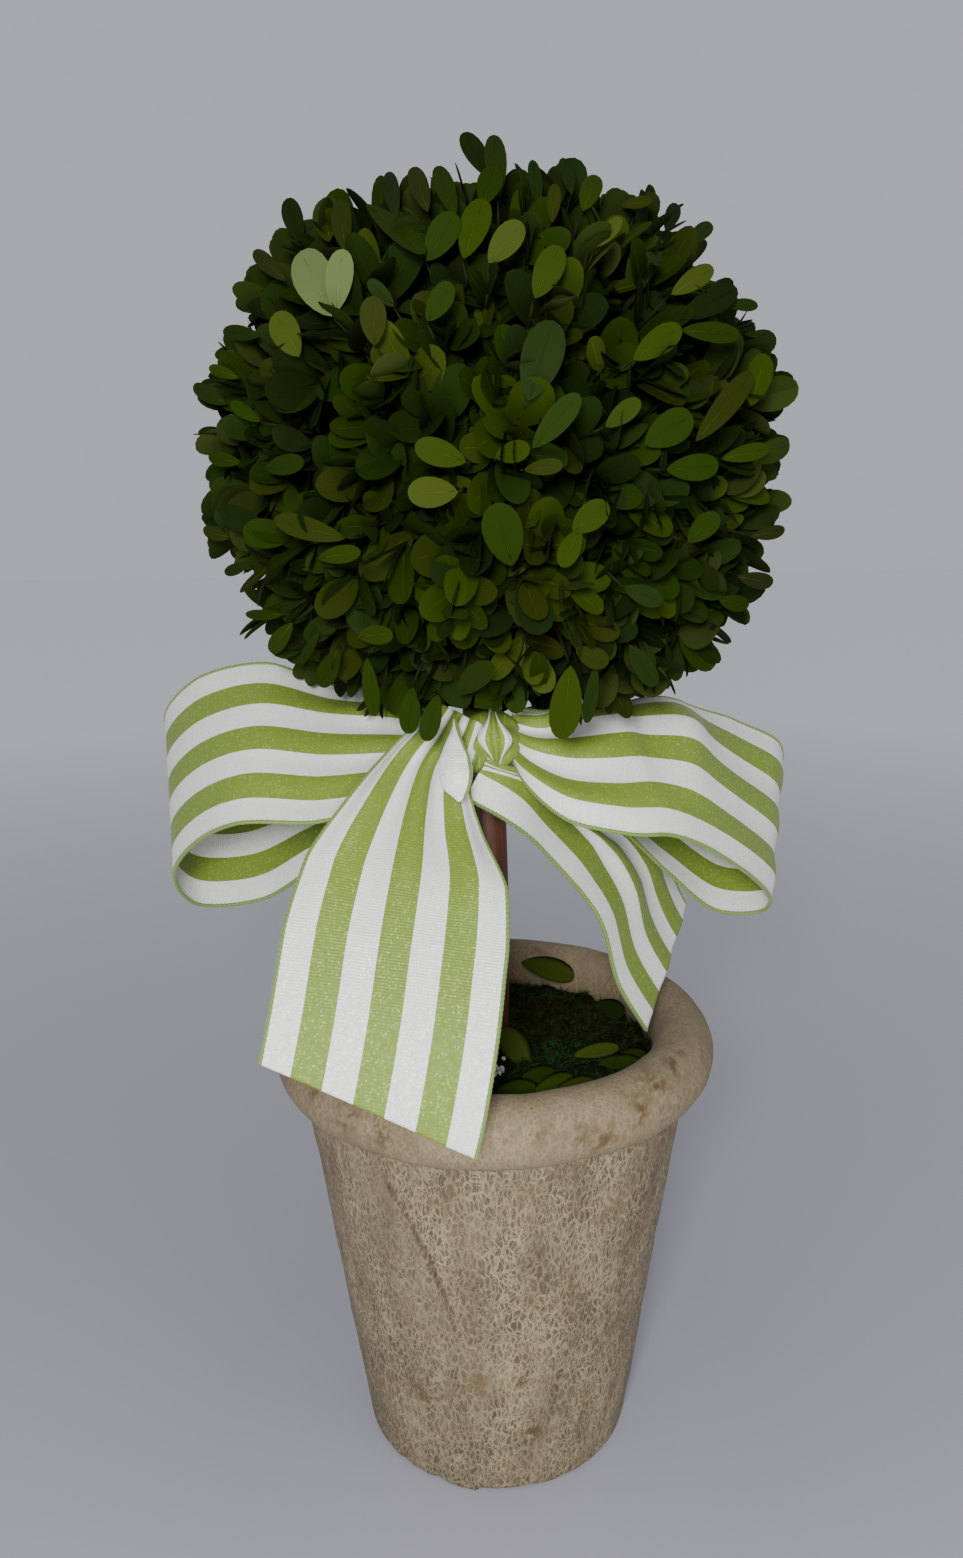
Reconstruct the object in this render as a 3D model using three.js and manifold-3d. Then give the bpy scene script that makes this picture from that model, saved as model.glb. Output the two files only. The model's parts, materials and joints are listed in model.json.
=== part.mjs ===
// A clipped box ball on a bare stem, potted in weathered stone and tied with a striped bow.
// Millimetres, +Z up. The origin is the centre of the flat underside of the pot.
import * as THREE from "three";
import { mergeVertices } from "three/addons/utils/BufferGeometryUtils.js";
import Module from "manifold-3d";

const wasm = await Module();
wasm.setup();

// Space between two pieces that touch, and how far a flat face may be smoothed
const CLEARANCE = 0.3;
const SMOOTHING = 0.03;

// Pot
const POT_HEIGHT = 155;
const POT_SIDES = 42;
const POT_WALL = 8;
const POT_FLOOR = 9;
const POT_CORNER = 5;
const FOOT_RADIUS = 47;
const FOOT_ROUND = 3;
const NECK_RADIUS = 66;
const RIM_RADIUS = 65;
const RIM_HALF_WIDTH = 10;
const RIM_HALF_HEIGHT = 11;
const RIM_ARC = [-72, 216];
const RIM_STEPS = 16;
const INNER_NECK = 2;

// Filling inside the pot and the moss that covers it
const FILL_TOP = 128;
const FILL_SPACE = 1.6;
const FILL_INSET = POT_WALL + FILL_SPACE;
const MOSS_RADIUS = 54;
const MOSS_TOP = 144;
const MOSS_EDGE = 6;
const MOSS_EDGE_DROP = 3.5;
const MOSS_BUMP = 1.3;
const MOSS_BUMP_LENGTH = 3.5;
const MOSS_SIDES = 30;
const MOSS_RINGS = 6;

// Stem
const STEM_FOOT = FILL_TOP + CLEARANCE;
const STEM_TOP = 362;
const STEM_RADIUS = 6.9;
const STEM_TOP_RADIUS = 6.2;
const STEM_X = -2;
const STEM_SWAY_X = 0.8;
const STEM_SWAY_Y = 0.5;
const STEM_BENDS_X = 2.3;
const STEM_BENDS_Y = 1.4;
const STEM_SIDES = 14;
const STEM_RINGS = 9;

// Clipped ball: half sizes of its outer surface, taller above its centre than below it, and
// how square its outline is
const BALL_CENTRE = new THREE.Vector3(2, 0, 334);
const BALL_RADIUS = 88;
const BALL_HALF_HEIGHT = 78;
const BALL_TOP_HALF_HEIGHT = 83;
const BALL_SQUARENESS = 2.3;
const CORE_SHARE = 0.79;
const CORE_BUMP = 0.03;
const CORE_WAVES = [9, 4, 8];
const CORE_DETAIL = 3;

// Sprigs of the ball: how far they reach as a share of its surface, and their twigs
const SEED = 11;
const SPRIGS = 148;
const SPRIG_REACH = [0.95, 1.04];
const TOP_SPRIG = new THREE.Vector3(-0.07, -0.12, 1).normalize();
const TOP_SPRIG_REACH = 1.11;
const TIP_LIMIT = 1.09;
const TOP_TIP_LIMIT = 1.17;
const TWIG_RADIUS = 0.9;
const TWIG_SINK = 6;
const TWIG_LEAN = 0.35;
const TURN_RANGE = 0.25;
const SIDE_HINT = new THREE.Vector3(0.3, 0.5, 0.8);

// Leaves of a sprig: one at the tip, then pairs down the twig. Spreads are degrees off the twig.
const PAIRS = 2;
const FIRST_PAIR = 3;
const PAIR_STEP = 6;
const TIP_SPREAD = 4;
const FIRST_SPREAD = 38;
const SPREAD_STEP = 18;
const SPREAD_RANGE = 8;
const SPREAD_TRIES = [0, -14, 12, -26];
const LEAF_LENGTH = 21;
const LEAF_SIZES = [0.88, 1.08];
const LEAF_WIDTH = 14;
const LEAF_WIDEST = 0.58;
const LEAF_LIFT = 0.6;
const LEAF_THICKNESS = 0.7;
const LEAF_SINK = 0.6;
const TIP_LEAF_OUT = 0.85;
const LEAF_PROBES = [0.35, 0.6, 0.8, 1];
const LEAF_NEAR = 1.1 * LEAF_LENGTH;

// Room that the leaves leave around the stem and the bow
const STEM_SPACE = 15;
const BOW_SPACE = 8;

// Leaves that lie on the moss: x, y, length and heading in degrees
const FALLEN_LEAVES = [
  [19, 41, 19, -35],
  [8, -17, 20, -78],
  [30, -17, 17, 15],
  [29, -33, 15, 175],
  [12, -41, 14, 28],
  [-20, 26, 18, 140],
  [-34, -6, 17, 80],
  [-26, -34, 16, 210],
  [41, 18, 14, -50],
];
const FALLEN_TILT = 0.16;
const FALLEN_SINK = 1;
const FALLEN_WIDTH = 0.55;

// Ribbon and the knot that ties it
const RIBBON_THICKNESS = 0.8;
const ROUTE_STEP = 0.005;
const CURL_POWER = 1.2;
const CURL_SLICES = 16;
const KNOT_CENTRE = new THREE.Vector3(-3, -18.5, 252);
const KNOT_HALF_SIZE = new THREE.Vector3(8, 10.5, 11);
const KNOT_SIDES = 16;
const KNOT_RINGS = 10;
const BAND_RADIUS = 9.4;
const BAND_HEIGHT = 10;
const BAND_SIDES = 20;

// Routes of the ribbon. Each row is one place along it: its middle x, y, z,
// the way across it x, y, z as long as the gathered width, and how far its top edge curls.
const LOOP_LEFT = [
  [-12, -18, 253, -4, 7, 16, 0],
  [-20, -21, 253, -5, 19, 26, 10],
  [-34, -22, 253, -1, 34, 34, 24],
  [-52, -22, 253, 2, 46, 39, 28],
  [-74, -22, 255, 3, 46, 43, 8],
  [-94, -14, 247, -5, 44, 46, 0],
  [-106, -3, 233, -11, 44, 45, 0],
  [-102, 12, 220, -9, 40, 48, 0],
  [-86, 21, 217, -15, 43, 44, 0],
  [-64, 19, 226, -7, 45, 40, 0],
  [-39, 9, 238, 1, 33, 37, 0],
  [-22, -4, 246, 0, 18, 28, 0],
  [-12, -13, 252, -3, 7, 15, 0],
];
const LOOP_RIGHT = [
  [6, -20, 255, 1, 3, 16, 0],
  [13, -25, 253, 6, 15, 22, -20],
  [24, -27, 252, 2, 33, 37, -45],
  [37, -25, 252, -9, 39, 46, -75],
  [50, -21, 252, -5, 40, 50, -85],
  [66, -12, 244, 2, 45, 45, -50],
  [83, -2, 232, 4, 44, 44, -12],
  [98, 10, 219, 10, 39, 46, 0],
  [99, 20, 210, 15, 44, 42, 0],
  [84, 24, 209, 15, 46, 41, 0],
  [62, 22, 222, 10, 48, 36, 0],
  [38, 10, 240, 0, 34, 36, 0],
  [20, -3, 248, -2, 17, 23, 0],
  [6, -12, 253, 1, 5, 14, 0],
];
const TAIL_LEFT = [
  [-10, -26, 263, 15, -5, -7, 0],
  [-14, -28, 256, 19, -5, -8, 0],
  [-19.3, -32, 248, 25.4, -4, -9, 0],
  [-22.5, -40, 237, 39, 0, -11, 0],
  [-25, -54, 222, 58, -3, -10, 0],
  [-28, -68, 204, 63, -1, -9, 0],
  [-31, -80, 184, 63, -2, -9, 0],
  [-35, -88, 162, 63, -2, -12, 0],
  [-40, -91, 139, 62, -2, -13, 0],
];
const TAIL_RIGHT = [
  [-5, -30, 243, 7, 1, 12, 0],
  [8, -24, 232, 8, 7, 12, 0],
  [16, -19, 224, 8, 14, 10, 0],
  [25, -14, 218, 12, 20, 11, 0],
  [33, -9, 213, 18, 28, 15, 0],
  [40, -1, 208, 22, 41, 16, 0],
  [47, 3, 196, 26, 50, 15, 0],
  [55, 6, 178, 28, 54, 15, 0],
  [66, 7, 159, 28, 54, 15, 0],
];
const LOOP_CELLS = [30, 6];
const TAIL_CELLS = [16, 6];
const TAIL_LEFT_CUT = [0.825, 0.907];
const TAIL_RIGHT_CUT = [0.98, 0.91];

// Materials
const stone = new THREE.MeshStandardMaterial({ color: 0xb3a68f, roughness: 0.85 });
const soil = new THREE.MeshStandardMaterial({ color: 0x2c241b, roughness: 0.95 });
const moss = new THREE.MeshStandardMaterial({ color: 0x1d2a14, roughness: 0.95 });
const bark = new THREE.MeshStandardMaterial({ color: 0x5a3321, roughness: 0.6 });
const leafGreen = new THREE.MeshStandardMaterial({ color: 0x35501a, roughness: 0.45 });
const ribbonWhite = new THREE.MeshStandardMaterial({ color: 0xd9dbd6, roughness: 0.5 });
const ribbonGreen = new THREE.MeshStandardMaterial({ color: 0x8fae5c, roughness: 0.5 });

// Repeatable numbers from 0 to 1
function seeded(seed) {
  let state = seed;
  return () => {
    state = (state * 1664525 + 1013904223) % 4294967296;
    return state / 4294967296;
  };
}

// A closed geometry as a solid that can be joined and cut
function solid(geometry) {
  geometry.deleteAttribute("normal");
  geometry.deleteAttribute("uv");
  const merged = mergeVertices(geometry, 1e-3);
  const corners = merged.index.array;
  const kept = [];
  for (let i = 0; i < corners.length; i += 3) {
    const [a, b, c] = [corners[i], corners[i + 1], corners[i + 2]];
    if (a !== b && b !== c && c !== a) kept.push(a, b, c);
  }
  return new wasm.Manifold(
    new wasm.Mesh({
      numProp: 3,
      vertProperties: merged.attributes.position.array,
      triVerts: new Uint32Array(kept),
    }),
  );
}

// The largest closed skin of a solid, without loose scraps or sealed hollows
function largest(made) {
  const parts = made.simplify(SMOOTHING).decompose();
  return parts.reduce((best, part) => (part.volume() > best.volume() ? part : best));
}

// A solid as a named mesh
function piece(name, made, material) {
  const raw = made.getMesh();
  const geometry = new THREE.BufferGeometry();
  geometry.setAttribute("position", new THREE.BufferAttribute(raw.vertProperties, 3));
  geometry.setIndex(new THREE.BufferAttribute(raw.triVerts, 1));
  geometry.computeVertexNormals();
  const mesh = new THREE.Mesh(geometry, material);
  mesh.name = name;
  return mesh;
}

// Corner points of a solid
function cornerPoints(made) {
  const { vertProperties } = made.getMesh();
  return Array.from({ length: vertProperties.length / 3 }, (_, i) =>
    new THREE.Vector3().fromArray(vertProperties, 3 * i),
  );
}

// A profile of [radius, height] points turned round the Z axis
function turned(profile, sides) {
  const points = profile.map(([radius, height]) => new THREE.Vector2(radius, height));
  return new THREE.LatheGeometry(points, sides).rotateX(Math.PI / 2);
}

// Each vertex of a geometry moved by a rule
function reshaped(geometry, rule) {
  const position = geometry.attributes.position;
  const point = new THREE.Vector3();
  for (let i = 0; i < position.count; i += 1) {
    point.fromBufferAttribute(position, i);
    rule(point);
    position.setXYZ(i, point.x, point.y, point.z);
  }
  return geometry;
}

// Points of an elliptic arc in the [radius, height] plane, angles in degrees
function arc(centreRadius, centreHeight, halfWidth, halfHeight, [from, to], steps) {
  return Array.from({ length: steps + 1 }, (_, i) => {
    const angle = THREE.MathUtils.degToRad(THREE.MathUtils.lerp(from, to, i / steps));
    return [centreRadius + halfWidth * Math.cos(angle), centreHeight + halfHeight * Math.sin(angle)];
  });
}

// Radius of the pot's straight flared wall, outside, at a height
const rimBottom = POT_HEIGHT - 2 * RIM_HALF_HEIGHT;
function wallRadius(height) {
  return THREE.MathUtils.lerp(FOOT_RADIUS, NECK_RADIUS, height / rimBottom);
}

// The pot: a flared wall under a rolled rim, open at the top
function pot() {
  const rimMiddle = POT_HEIGHT - RIM_HALF_HEIGHT;
  const innerTop = rimBottom + INNER_NECK;
  const innerCorner = POT_FLOOR + POT_CORNER;
  const profile = [
    [0, 0],
    ...arc(FOOT_RADIUS - FOOT_ROUND, FOOT_ROUND, FOOT_ROUND, FOOT_ROUND, [-90, 0], 3),
    [NECK_RADIUS, rimBottom],
    ...arc(RIM_RADIUS, rimMiddle, RIM_HALF_WIDTH, RIM_HALF_HEIGHT, RIM_ARC, RIM_STEPS),
    [wallRadius(innerTop) - POT_WALL, innerTop],
    [wallRadius(innerCorner) - POT_WALL, innerCorner],
    [wallRadius(POT_FLOOR) - POT_WALL - POT_CORNER, POT_FLOOR],
    [0, POT_FLOOR],
  ];
  return solid(turned(profile, POT_SIDES));
}

// The filling that stands in the pot and carries the stem
function filling() {
  const bottom = POT_FLOOR + CLEARANCE;
  const corner = POT_FLOOR + POT_CORNER + 1;
  const profile = [
    [0, bottom],
    [wallRadius(POT_FLOOR) - FILL_INSET - POT_CORNER, bottom],
    [wallRadius(corner) - FILL_INSET, corner],
    [wallRadius(FILL_TOP) - FILL_INSET, FILL_TOP],
    [0, FILL_TOP],
  ];
  return solid(turned(profile, POT_SIDES));
}

// Where the middle of the stem stands at a height
function stemMiddle(height) {
  const turn = (Math.PI * (height - STEM_FOOT)) / (STEM_TOP - STEM_FOOT);
  return new THREE.Vector2(
    STEM_X + STEM_SWAY_X * Math.sin(STEM_BENDS_X * turn),
    STEM_SWAY_Y * Math.sin(STEM_BENDS_Y * turn),
  );
}

// The stem, or a bore for it that is wider and longer by grow
function stem(grow = 0) {
  const profile = [[0, STEM_FOOT - grow]];
  for (let i = 0; i <= STEM_RINGS; i += 1) {
    const share = i / STEM_RINGS;
    const radius = THREE.MathUtils.lerp(STEM_RADIUS, STEM_TOP_RADIUS, share);
    const height = THREE.MathUtils.lerp(STEM_FOOT - grow, STEM_TOP + grow, share);
    profile.push([radius + grow, height]);
  }
  profile.push([0, STEM_TOP + grow]);
  return solid(
    reshaped(turned(profile, STEM_SIDES), (point) => {
      const middle = stemMiddle(point.z);
      point.x += middle.x;
      point.y += middle.y;
    }),
  );
}

// Height of the moss at a place: a low mound with small bumps, down at its edge
function mossHeight(x, y) {
  const edge = Math.hypot(x, y) / MOSS_RADIUS;
  const [u, v] = [x / MOSS_BUMP_LENGTH, y / MOSS_BUMP_LENGTH];
  const bumps = Math.sin(u + 1) * Math.cos(v - 2) + 0.6 * Math.sin(1.8 * u - 1.5 * v);
  return MOSS_TOP - MOSS_EDGE_DROP * edge ** 6 + MOSS_BUMP * bumps;
}

// An eight-sided leaf from its root along a direction, facing a normal, a little dished
function leaf(root, direction, facing, length, width) {
  const side = new THREE.Vector3().crossVectors(facing, direction).normalize();
  const up = new THREE.Vector3().crossVectors(direction, side).normalize();
  const at = (along, across, above) =>
    root
      .clone()
      .addScaledVector(direction, along * length)
      .addScaledVector(side, across * width)
      .addScaledVector(up, above);
  return reshaped(new THREE.OctahedronGeometry(1, 0), (point) => {
    if (point.x > 0.5) point.copy(at(1, 0, -LEAF_THICKNESS));
    else if (point.x < -0.5) point.copy(at(0, 0, 0));
    else if (point.y > 0.5) point.copy(at(LEAF_WIDEST, 0.5, LEAF_LIFT));
    else if (point.y < -0.5) point.copy(at(LEAF_WIDEST, -0.5, LEAF_LIFT));
    else if (point.z > 0.5) point.copy(at(0.5, 0, 0.5 * LEAF_THICKNESS));
    else point.copy(at(0.5, 0, -LEAF_THICKNESS));
  });
}

// The moss with the leaves that have fallen on it
function mossBed() {
  const profile = [
    [0, STEM_FOOT],
    [MOSS_RADIUS - MOSS_EDGE / 3, STEM_FOOT],
    [MOSS_RADIUS, STEM_FOOT + MOSS_EDGE],
  ];
  for (let i = 0; i <= MOSS_RINGS; i += 1) {
    profile.push([MOSS_RADIUS * (1 - i / MOSS_RINGS), MOSS_TOP]);
  }
  const bed = solid(
    reshaped(turned(profile, MOSS_SIDES), (point) => {
      if (point.z > STEM_FOOT + MOSS_EDGE) point.z = mossHeight(point.x, point.y);
    }),
  );
  const fallen = FALLEN_LEAVES.map(([x, y, length, heading]) => {
    const turn = THREE.MathUtils.degToRad(heading);
    const direction = new THREE.Vector3(Math.cos(turn), Math.sin(turn), FALLEN_TILT).normalize();
    const root = new THREE.Vector3(x, y, mossHeight(x, y) - FALLEN_SINK);
    root.addScaledVector(direction, -0.5 * length);
    return solid(leaf(root, direction, new THREE.Vector3(0, 0, 1), length, FALLEN_WIDTH * length));
  });
  return largest(wasm.Manifold.union([bed, ...fallen]).subtract(stem(CLEARANCE)));
}

// Distance from the middle of the ball to its clipped surface, along a unit direction
function reach(direction) {
  const flat = Math.hypot(direction.x, direction.y) / BALL_RADIUS;
  const tall = Math.abs(direction.z) / (direction.z > 0 ? BALL_TOP_HALF_HEIGHT : BALL_HALF_HEIGHT);
  return (flat ** BALL_SQUARENESS + tall ** BALL_SQUARENESS) ** (-1 / BALL_SQUARENESS);
}

// Unit directions spread evenly over a ball
function spread(count, random) {
  const golden = Math.PI * (3 - Math.sqrt(5));
  return Array.from({ length: count }, (_, k) => {
    const z = 1 - (2 * (k + 0.5)) / count;
    const turn = golden * k + TURN_RANGE * (random() - 0.5);
    const flat = Math.sqrt(1 - z * z);
    return new THREE.Vector3(flat * Math.cos(turn), flat * Math.sin(turn), z);
  });
}

// The places of a sprig's leaves on its twig, each pair turned a quarter turn from the last
function leafSlots(axis, end, random) {
  const first = SIDE_HINT.clone().cross(axis).normalize();
  first.applyAxisAngle(axis, random() * Math.PI);
  const slots = [{ node: end, side: first, angle: TIP_SPREAD, facing: first.clone().cross(axis) }];
  for (let pair = 0; pair < PAIRS; pair += 1) {
    const side = first.clone().applyAxisAngle(axis, (pair * Math.PI) / 2);
    const node = end.clone().addScaledVector(axis, -FIRST_PAIR - PAIR_STEP * pair);
    const angle = FIRST_SPREAD + SPREAD_STEP * pair + SPREAD_RANGE * random();
    slots.push({ node, side, angle, facing: axis });
    slots.push({ node, side: side.clone().negate(), angle, facing: axis });
  }
  return slots;
}

// One sprig of the ball: a three-sided twig sunk in the core, and its leaves. A leaf that
// would leave the ball or touch something is turned a little, and left off if that fails.
function sprig(direction, reachShare, tipLimit, random, fits) {
  const twigEnd = reach(direction) * reachShare - TIP_LEAF_OUT * LEAF_LENGTH;
  const twigRoot = reach(direction) * CORE_SHARE - TWIG_SINK;
  const lean = new THREE.Vector3(random() - 0.5, random() - 0.5, random() - 0.5);
  const axis = direction.clone().addScaledVector(lean, TWIG_LEAN).normalize();
  const end = BALL_CENTRE.clone().addScaledVector(direction, twigEnd);
  const root = end.clone().addScaledVector(axis, twigRoot - twigEnd);
  const leaves = [];
  for (const { node, side, angle, facing } of leafSlots(axis, end, random)) {
    const length = LEAF_LENGTH * THREE.MathUtils.lerp(...LEAF_SIZES, random());
    for (const change of SPREAD_TRIES) {
      const off = THREE.MathUtils.degToRad(angle + change);
      const way = axis.clone().multiplyScalar(Math.cos(off)).addScaledVector(side, Math.sin(off));
      const start = node.clone().addScaledVector(way, -LEAF_SINK);
      const made = fits(start, way, facing, length, tipLimit);
      if (made) {
        leaves.push(made);
        break;
      }
    }
  }
  if (leaves.length < 2) return [];
  const corners = arc(0, 0, TWIG_RADIUS, TWIG_RADIUS, [0, 240], 2);
  const outline = new THREE.Shape(corners.map(([x, y]) => new THREE.Vector2(x, y)));
  const line = new THREE.LineCurve3(root, end.clone().addScaledVector(axis, TWIG_RADIUS));
  return [solid(new THREE.ExtrudeGeometry(outline, { steps: 1, extrudePath: line })), ...leaves];
}

// True where a leaf stays inside the clipped ball and clear of the stem and the bow
function insideSpace(start, way, length, tipLimit, bow) {
  return LEAF_PROBES.every((share) => {
    const probe = start.clone().addScaledVector(way, share * length);
    const out = probe.clone().sub(BALL_CENTRE);
    const middle = stemMiddle(probe.z);
    const fromStem = Math.hypot(probe.x - middle.x, probe.y - middle.y);
    return (
      out.length() < tipLimit * reach(out.clone().normalize()) &&
      (probe.z > BALL_CENTRE.z || fromStem > STEM_SPACE) &&
      bow.every((point) => point.distanceTo(probe) > BOW_SPACE)
    );
  });
}

// The clipped ball: a core with sprigs all over it, cut clear of the stem
function foliageBall(bow) {
  const random = seeded(SEED);
  const [waveX, waveZ, waveY] = CORE_WAVES;
  const core = solid(
    reshaped(new THREE.IcosahedronGeometry(1, CORE_DETAIL), (point) => {
      point.normalize();
      const wave = Math.sin(waveX * point.x + waveZ * point.z) * Math.cos(waveY * point.y);
      const bump = 1 + CORE_BUMP * wave;
      point.multiplyScalar(reach(point) * CORE_SHARE * bump).add(BALL_CENTRE);
    }),
  );
  const placed = [];
  const fits = (start, way, facing, length, tipLimit) => {
    if (!insideSpace(start, way, length, tipLimit, bow)) return null;
    const made = solid(leaf(start, way, facing, length, LEAF_WIDTH));
    const middle = start.clone().addScaledVector(way, 0.5 * length);
    const near = placed.filter((other) => other.middle.distanceTo(middle) < LEAF_NEAR);
    if (near.some((other) => !made.intersect(other.made).isEmpty())) return null;
    placed.push({ made, middle });
    return made;
  };
  const parts = [core, ...sprig(TOP_SPRIG, TOP_SPRIG_REACH, TOP_TIP_LIMIT, random, fits)];
  for (const direction of spread(SPRIGS, random)) {
    const reachShare = THREE.MathUtils.lerp(...SPRIG_REACH, random());
    parts.push(...sprig(direction, reachShare, TIP_LIMIT, random, fits));
  }
  return largest(wasm.Manifold.union(parts).subtract(stem(CLEARANCE)));
}

// A ribbon's place at a share of its route and at an edge share, 0 its lower edge and 1 its upper
function ribbonPlace(route, middle, across, share, edge) {
  const ahead = middle.getPoint(Math.min(share + ROUTE_STEP, 1));
  const along = ahead.sub(middle.getPoint(Math.max(share - ROUTE_STEP, 0)));
  const way = across.getPoint(share);
  const width = way.length();
  way.normalize();
  const normal = along.cross(way).normalize();
  const row = share * (route.length - 1);
  const low = Math.min(Math.floor(row), route.length - 2);
  const curl = THREE.MathUtils.lerp(route[low][6], route[low + 1][6], row - low);
  const point = middle.getPoint(share);
  for (let i = 0; i < CURL_SLICES; i += 1) {
    const at = THREE.MathUtils.lerp(0.5, edge, (i + 0.5) / CURL_SLICES);
    const angle = THREE.MathUtils.degToRad(curl) * Math.max(0, 2 * at - 1) ** CURL_POWER;
    const length = (width * (edge - 0.5)) / CURL_SLICES;
    point.addScaledVector(way, Math.cos(angle) * length);
    point.addScaledVector(normal, Math.sin(angle) * length);
  }
  return point;
}

// The middle surface of a ribbon as rows of points; cut says where it ends at each edge
function ribbonSurface(route, [cellsAlong, cellsAcross], cut = [1, 1]) {
  const middle = new THREE.CatmullRomCurve3(route.map(([x, y, z]) => new THREE.Vector3(x, y, z)));
  const across = new THREE.CatmullRomCurve3(route.map((row) => new THREE.Vector3(...row.slice(3, 6))));
  return Array.from({ length: cellsAlong + 1 }, (_, i) =>
    Array.from({ length: cellsAcross + 1 }, (__, j) => {
      const edge = j / cellsAcross;
      const share = (i / cellsAlong) * THREE.MathUtils.lerp(...cut, edge);
      return ribbonPlace(route, middle, across, share, edge);
    }),
  );
}

// A surface of rows of points as a thin closed solid
function sheet(rows, thickness) {
  const last = rows.length - 1;
  const wide = rows[0].length;
  const positions = [];
  for (const sign of [0.5, -0.5]) {
    rows.forEach((row, i) => {
      row.forEach((point, j) => {
        const along = rows[Math.min(i + 1, last)][j].clone().sub(rows[Math.max(i - 1, 0)][j]);
        const across = row[Math.min(j + 1, wide - 1)].clone().sub(row[Math.max(j - 1, 0)]);
        const normal = along.cross(across).normalize();
        positions.push(...point.clone().addScaledVector(normal, sign * thickness).toArray());
      });
    });
  }
  const corners = [];
  const back = rows.length * wide;
  const at = (i, j) => i * wide + j;
  const quad = (a, b, c, d) => corners.push(a, b, c, a, c, d);
  for (let i = 0; i < last; i += 1) {
    for (let j = 0; j < wide - 1; j += 1) {
      quad(at(i, j), at(i + 1, j), at(i + 1, j + 1), at(i, j + 1));
      quad(back + at(i, j), back + at(i, j + 1), back + at(i + 1, j + 1), back + at(i + 1, j));
    }
    quad(at(i, 0), back + at(i, 0), back + at(i + 1, 0), at(i + 1, 0));
    quad(at(i + 1, wide - 1), back + at(i + 1, wide - 1), back + at(i, wide - 1), at(i, wide - 1));
  }
  for (let j = 0; j < wide - 1; j += 1) {
    quad(at(0, j + 1), back + at(0, j + 1), back + at(0, j), at(0, j));
    quad(at(last, j), back + at(last, j), back + at(last, j + 1), at(last, j + 1));
  }
  const geometry = new THREE.BufferGeometry();
  geometry.setAttribute("position", new THREE.Float32BufferAttribute(positions, 3));
  geometry.setIndex(corners);
  return solid(geometry);
}

// The knot: a gathered lump in front of the stem and the band that ties it there
function knot() {
  const lump = new THREE.SphereGeometry(1, KNOT_SIDES, KNOT_RINGS);
  lump.scale(...KNOT_HALF_SIZE.toArray()).translate(...KNOT_CENTRE.toArray());
  const band = new THREE.CylinderGeometry(BAND_RADIUS, BAND_RADIUS, BAND_HEIGHT, BAND_SIDES);
  band.rotateX(Math.PI / 2).translate(STEM_X, 0, KNOT_CENTRE.z);
  return largest(solid(lump).add(solid(band)).subtract(stem(CLEARANCE)));
}

const tiedKnot = knot();
const ribbons = {
  bow_loop_left: ribbonSurface(LOOP_LEFT, LOOP_CELLS),
  bow_loop_right: ribbonSurface(LOOP_RIGHT, LOOP_CELLS),
  bow_tail_left: ribbonSurface(TAIL_LEFT, TAIL_CELLS, TAIL_LEFT_CUT),
  bow_tail_right: ribbonSurface(TAIL_RIGHT, TAIL_CELLS, TAIL_RIGHT_CUT),
};
const bowPoints = [...Object.values(ribbons).flat(2), ...cornerPoints(tiedKnot)];

const group = new THREE.Group();
group.add(
  piece("pot", pot(), stone),
  piece("filling", filling(), soil),
  piece("moss_bed", mossBed(), moss),
  piece("trunk", stem(), bark),
  piece("foliage_ball", foliageBall(bowPoints), leafGreen),
  piece("bow_knot", tiedKnot, ribbonGreen),
);
for (const [name, rows] of Object.entries(ribbons)) {
  group.add(piece(name, sheet(rows, RIBBON_THICKNESS), ribbonWhite));
}

export default group;
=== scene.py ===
# %% [markdown]
# # A box ball in a stone pot, tied with a striped bow
# A clipped ball of box leaves stands on a bare stem. The stem is set in a weathered stone pot
# under dark moss, and a wide striped ribbon is tied round it below the leaves. The packed
# model gives every size and place, and each step below dresses one of its pieces.

import itertools
import json
import math

import bpy
import mathutils
import numpy as np
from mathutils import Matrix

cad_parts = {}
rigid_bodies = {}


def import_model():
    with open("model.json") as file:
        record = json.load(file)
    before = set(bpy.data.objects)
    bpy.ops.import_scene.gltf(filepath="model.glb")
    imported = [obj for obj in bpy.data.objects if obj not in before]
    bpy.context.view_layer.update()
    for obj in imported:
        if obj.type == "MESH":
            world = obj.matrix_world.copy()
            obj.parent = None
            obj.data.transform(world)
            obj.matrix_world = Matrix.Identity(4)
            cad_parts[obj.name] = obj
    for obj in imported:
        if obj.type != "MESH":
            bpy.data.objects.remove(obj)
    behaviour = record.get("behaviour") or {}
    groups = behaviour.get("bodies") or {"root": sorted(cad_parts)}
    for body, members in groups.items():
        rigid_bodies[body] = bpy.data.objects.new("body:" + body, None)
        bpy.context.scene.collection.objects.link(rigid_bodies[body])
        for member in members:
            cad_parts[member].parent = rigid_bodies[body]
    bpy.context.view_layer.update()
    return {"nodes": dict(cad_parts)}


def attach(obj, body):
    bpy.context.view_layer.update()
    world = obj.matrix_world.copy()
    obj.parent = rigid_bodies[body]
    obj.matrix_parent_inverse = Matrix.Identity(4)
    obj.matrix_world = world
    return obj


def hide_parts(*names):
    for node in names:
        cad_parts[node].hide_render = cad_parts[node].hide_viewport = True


for start_object in list(bpy.data.objects):
    bpy.data.objects.remove(start_object)
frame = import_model()
print("packed nodes:", sorted(frame["nodes"]))

# %% [markdown]
# Blender counts in metres, and a pot plant is easier to think of in millimetres. So each
# shape is worked out in millimetres, and one factor turns it to metres when it is stored.

# %% Units and colours
MM = 0.001


def linear(code):
    """The linear RGBA of an sRGB hex colour: c / 12.92 up to 0.04045, and above that
    ((c + 0.055) / 1.055) to the power 2.4."""
    parts = [int(code[i : i + 2], 16) / 255 for i in (1, 3, 5)]
    return (*(c / 12.92 if c <= 0.04045 else ((c + 0.055) / 1.055) ** 2.4 for c in parts), 1)


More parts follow.
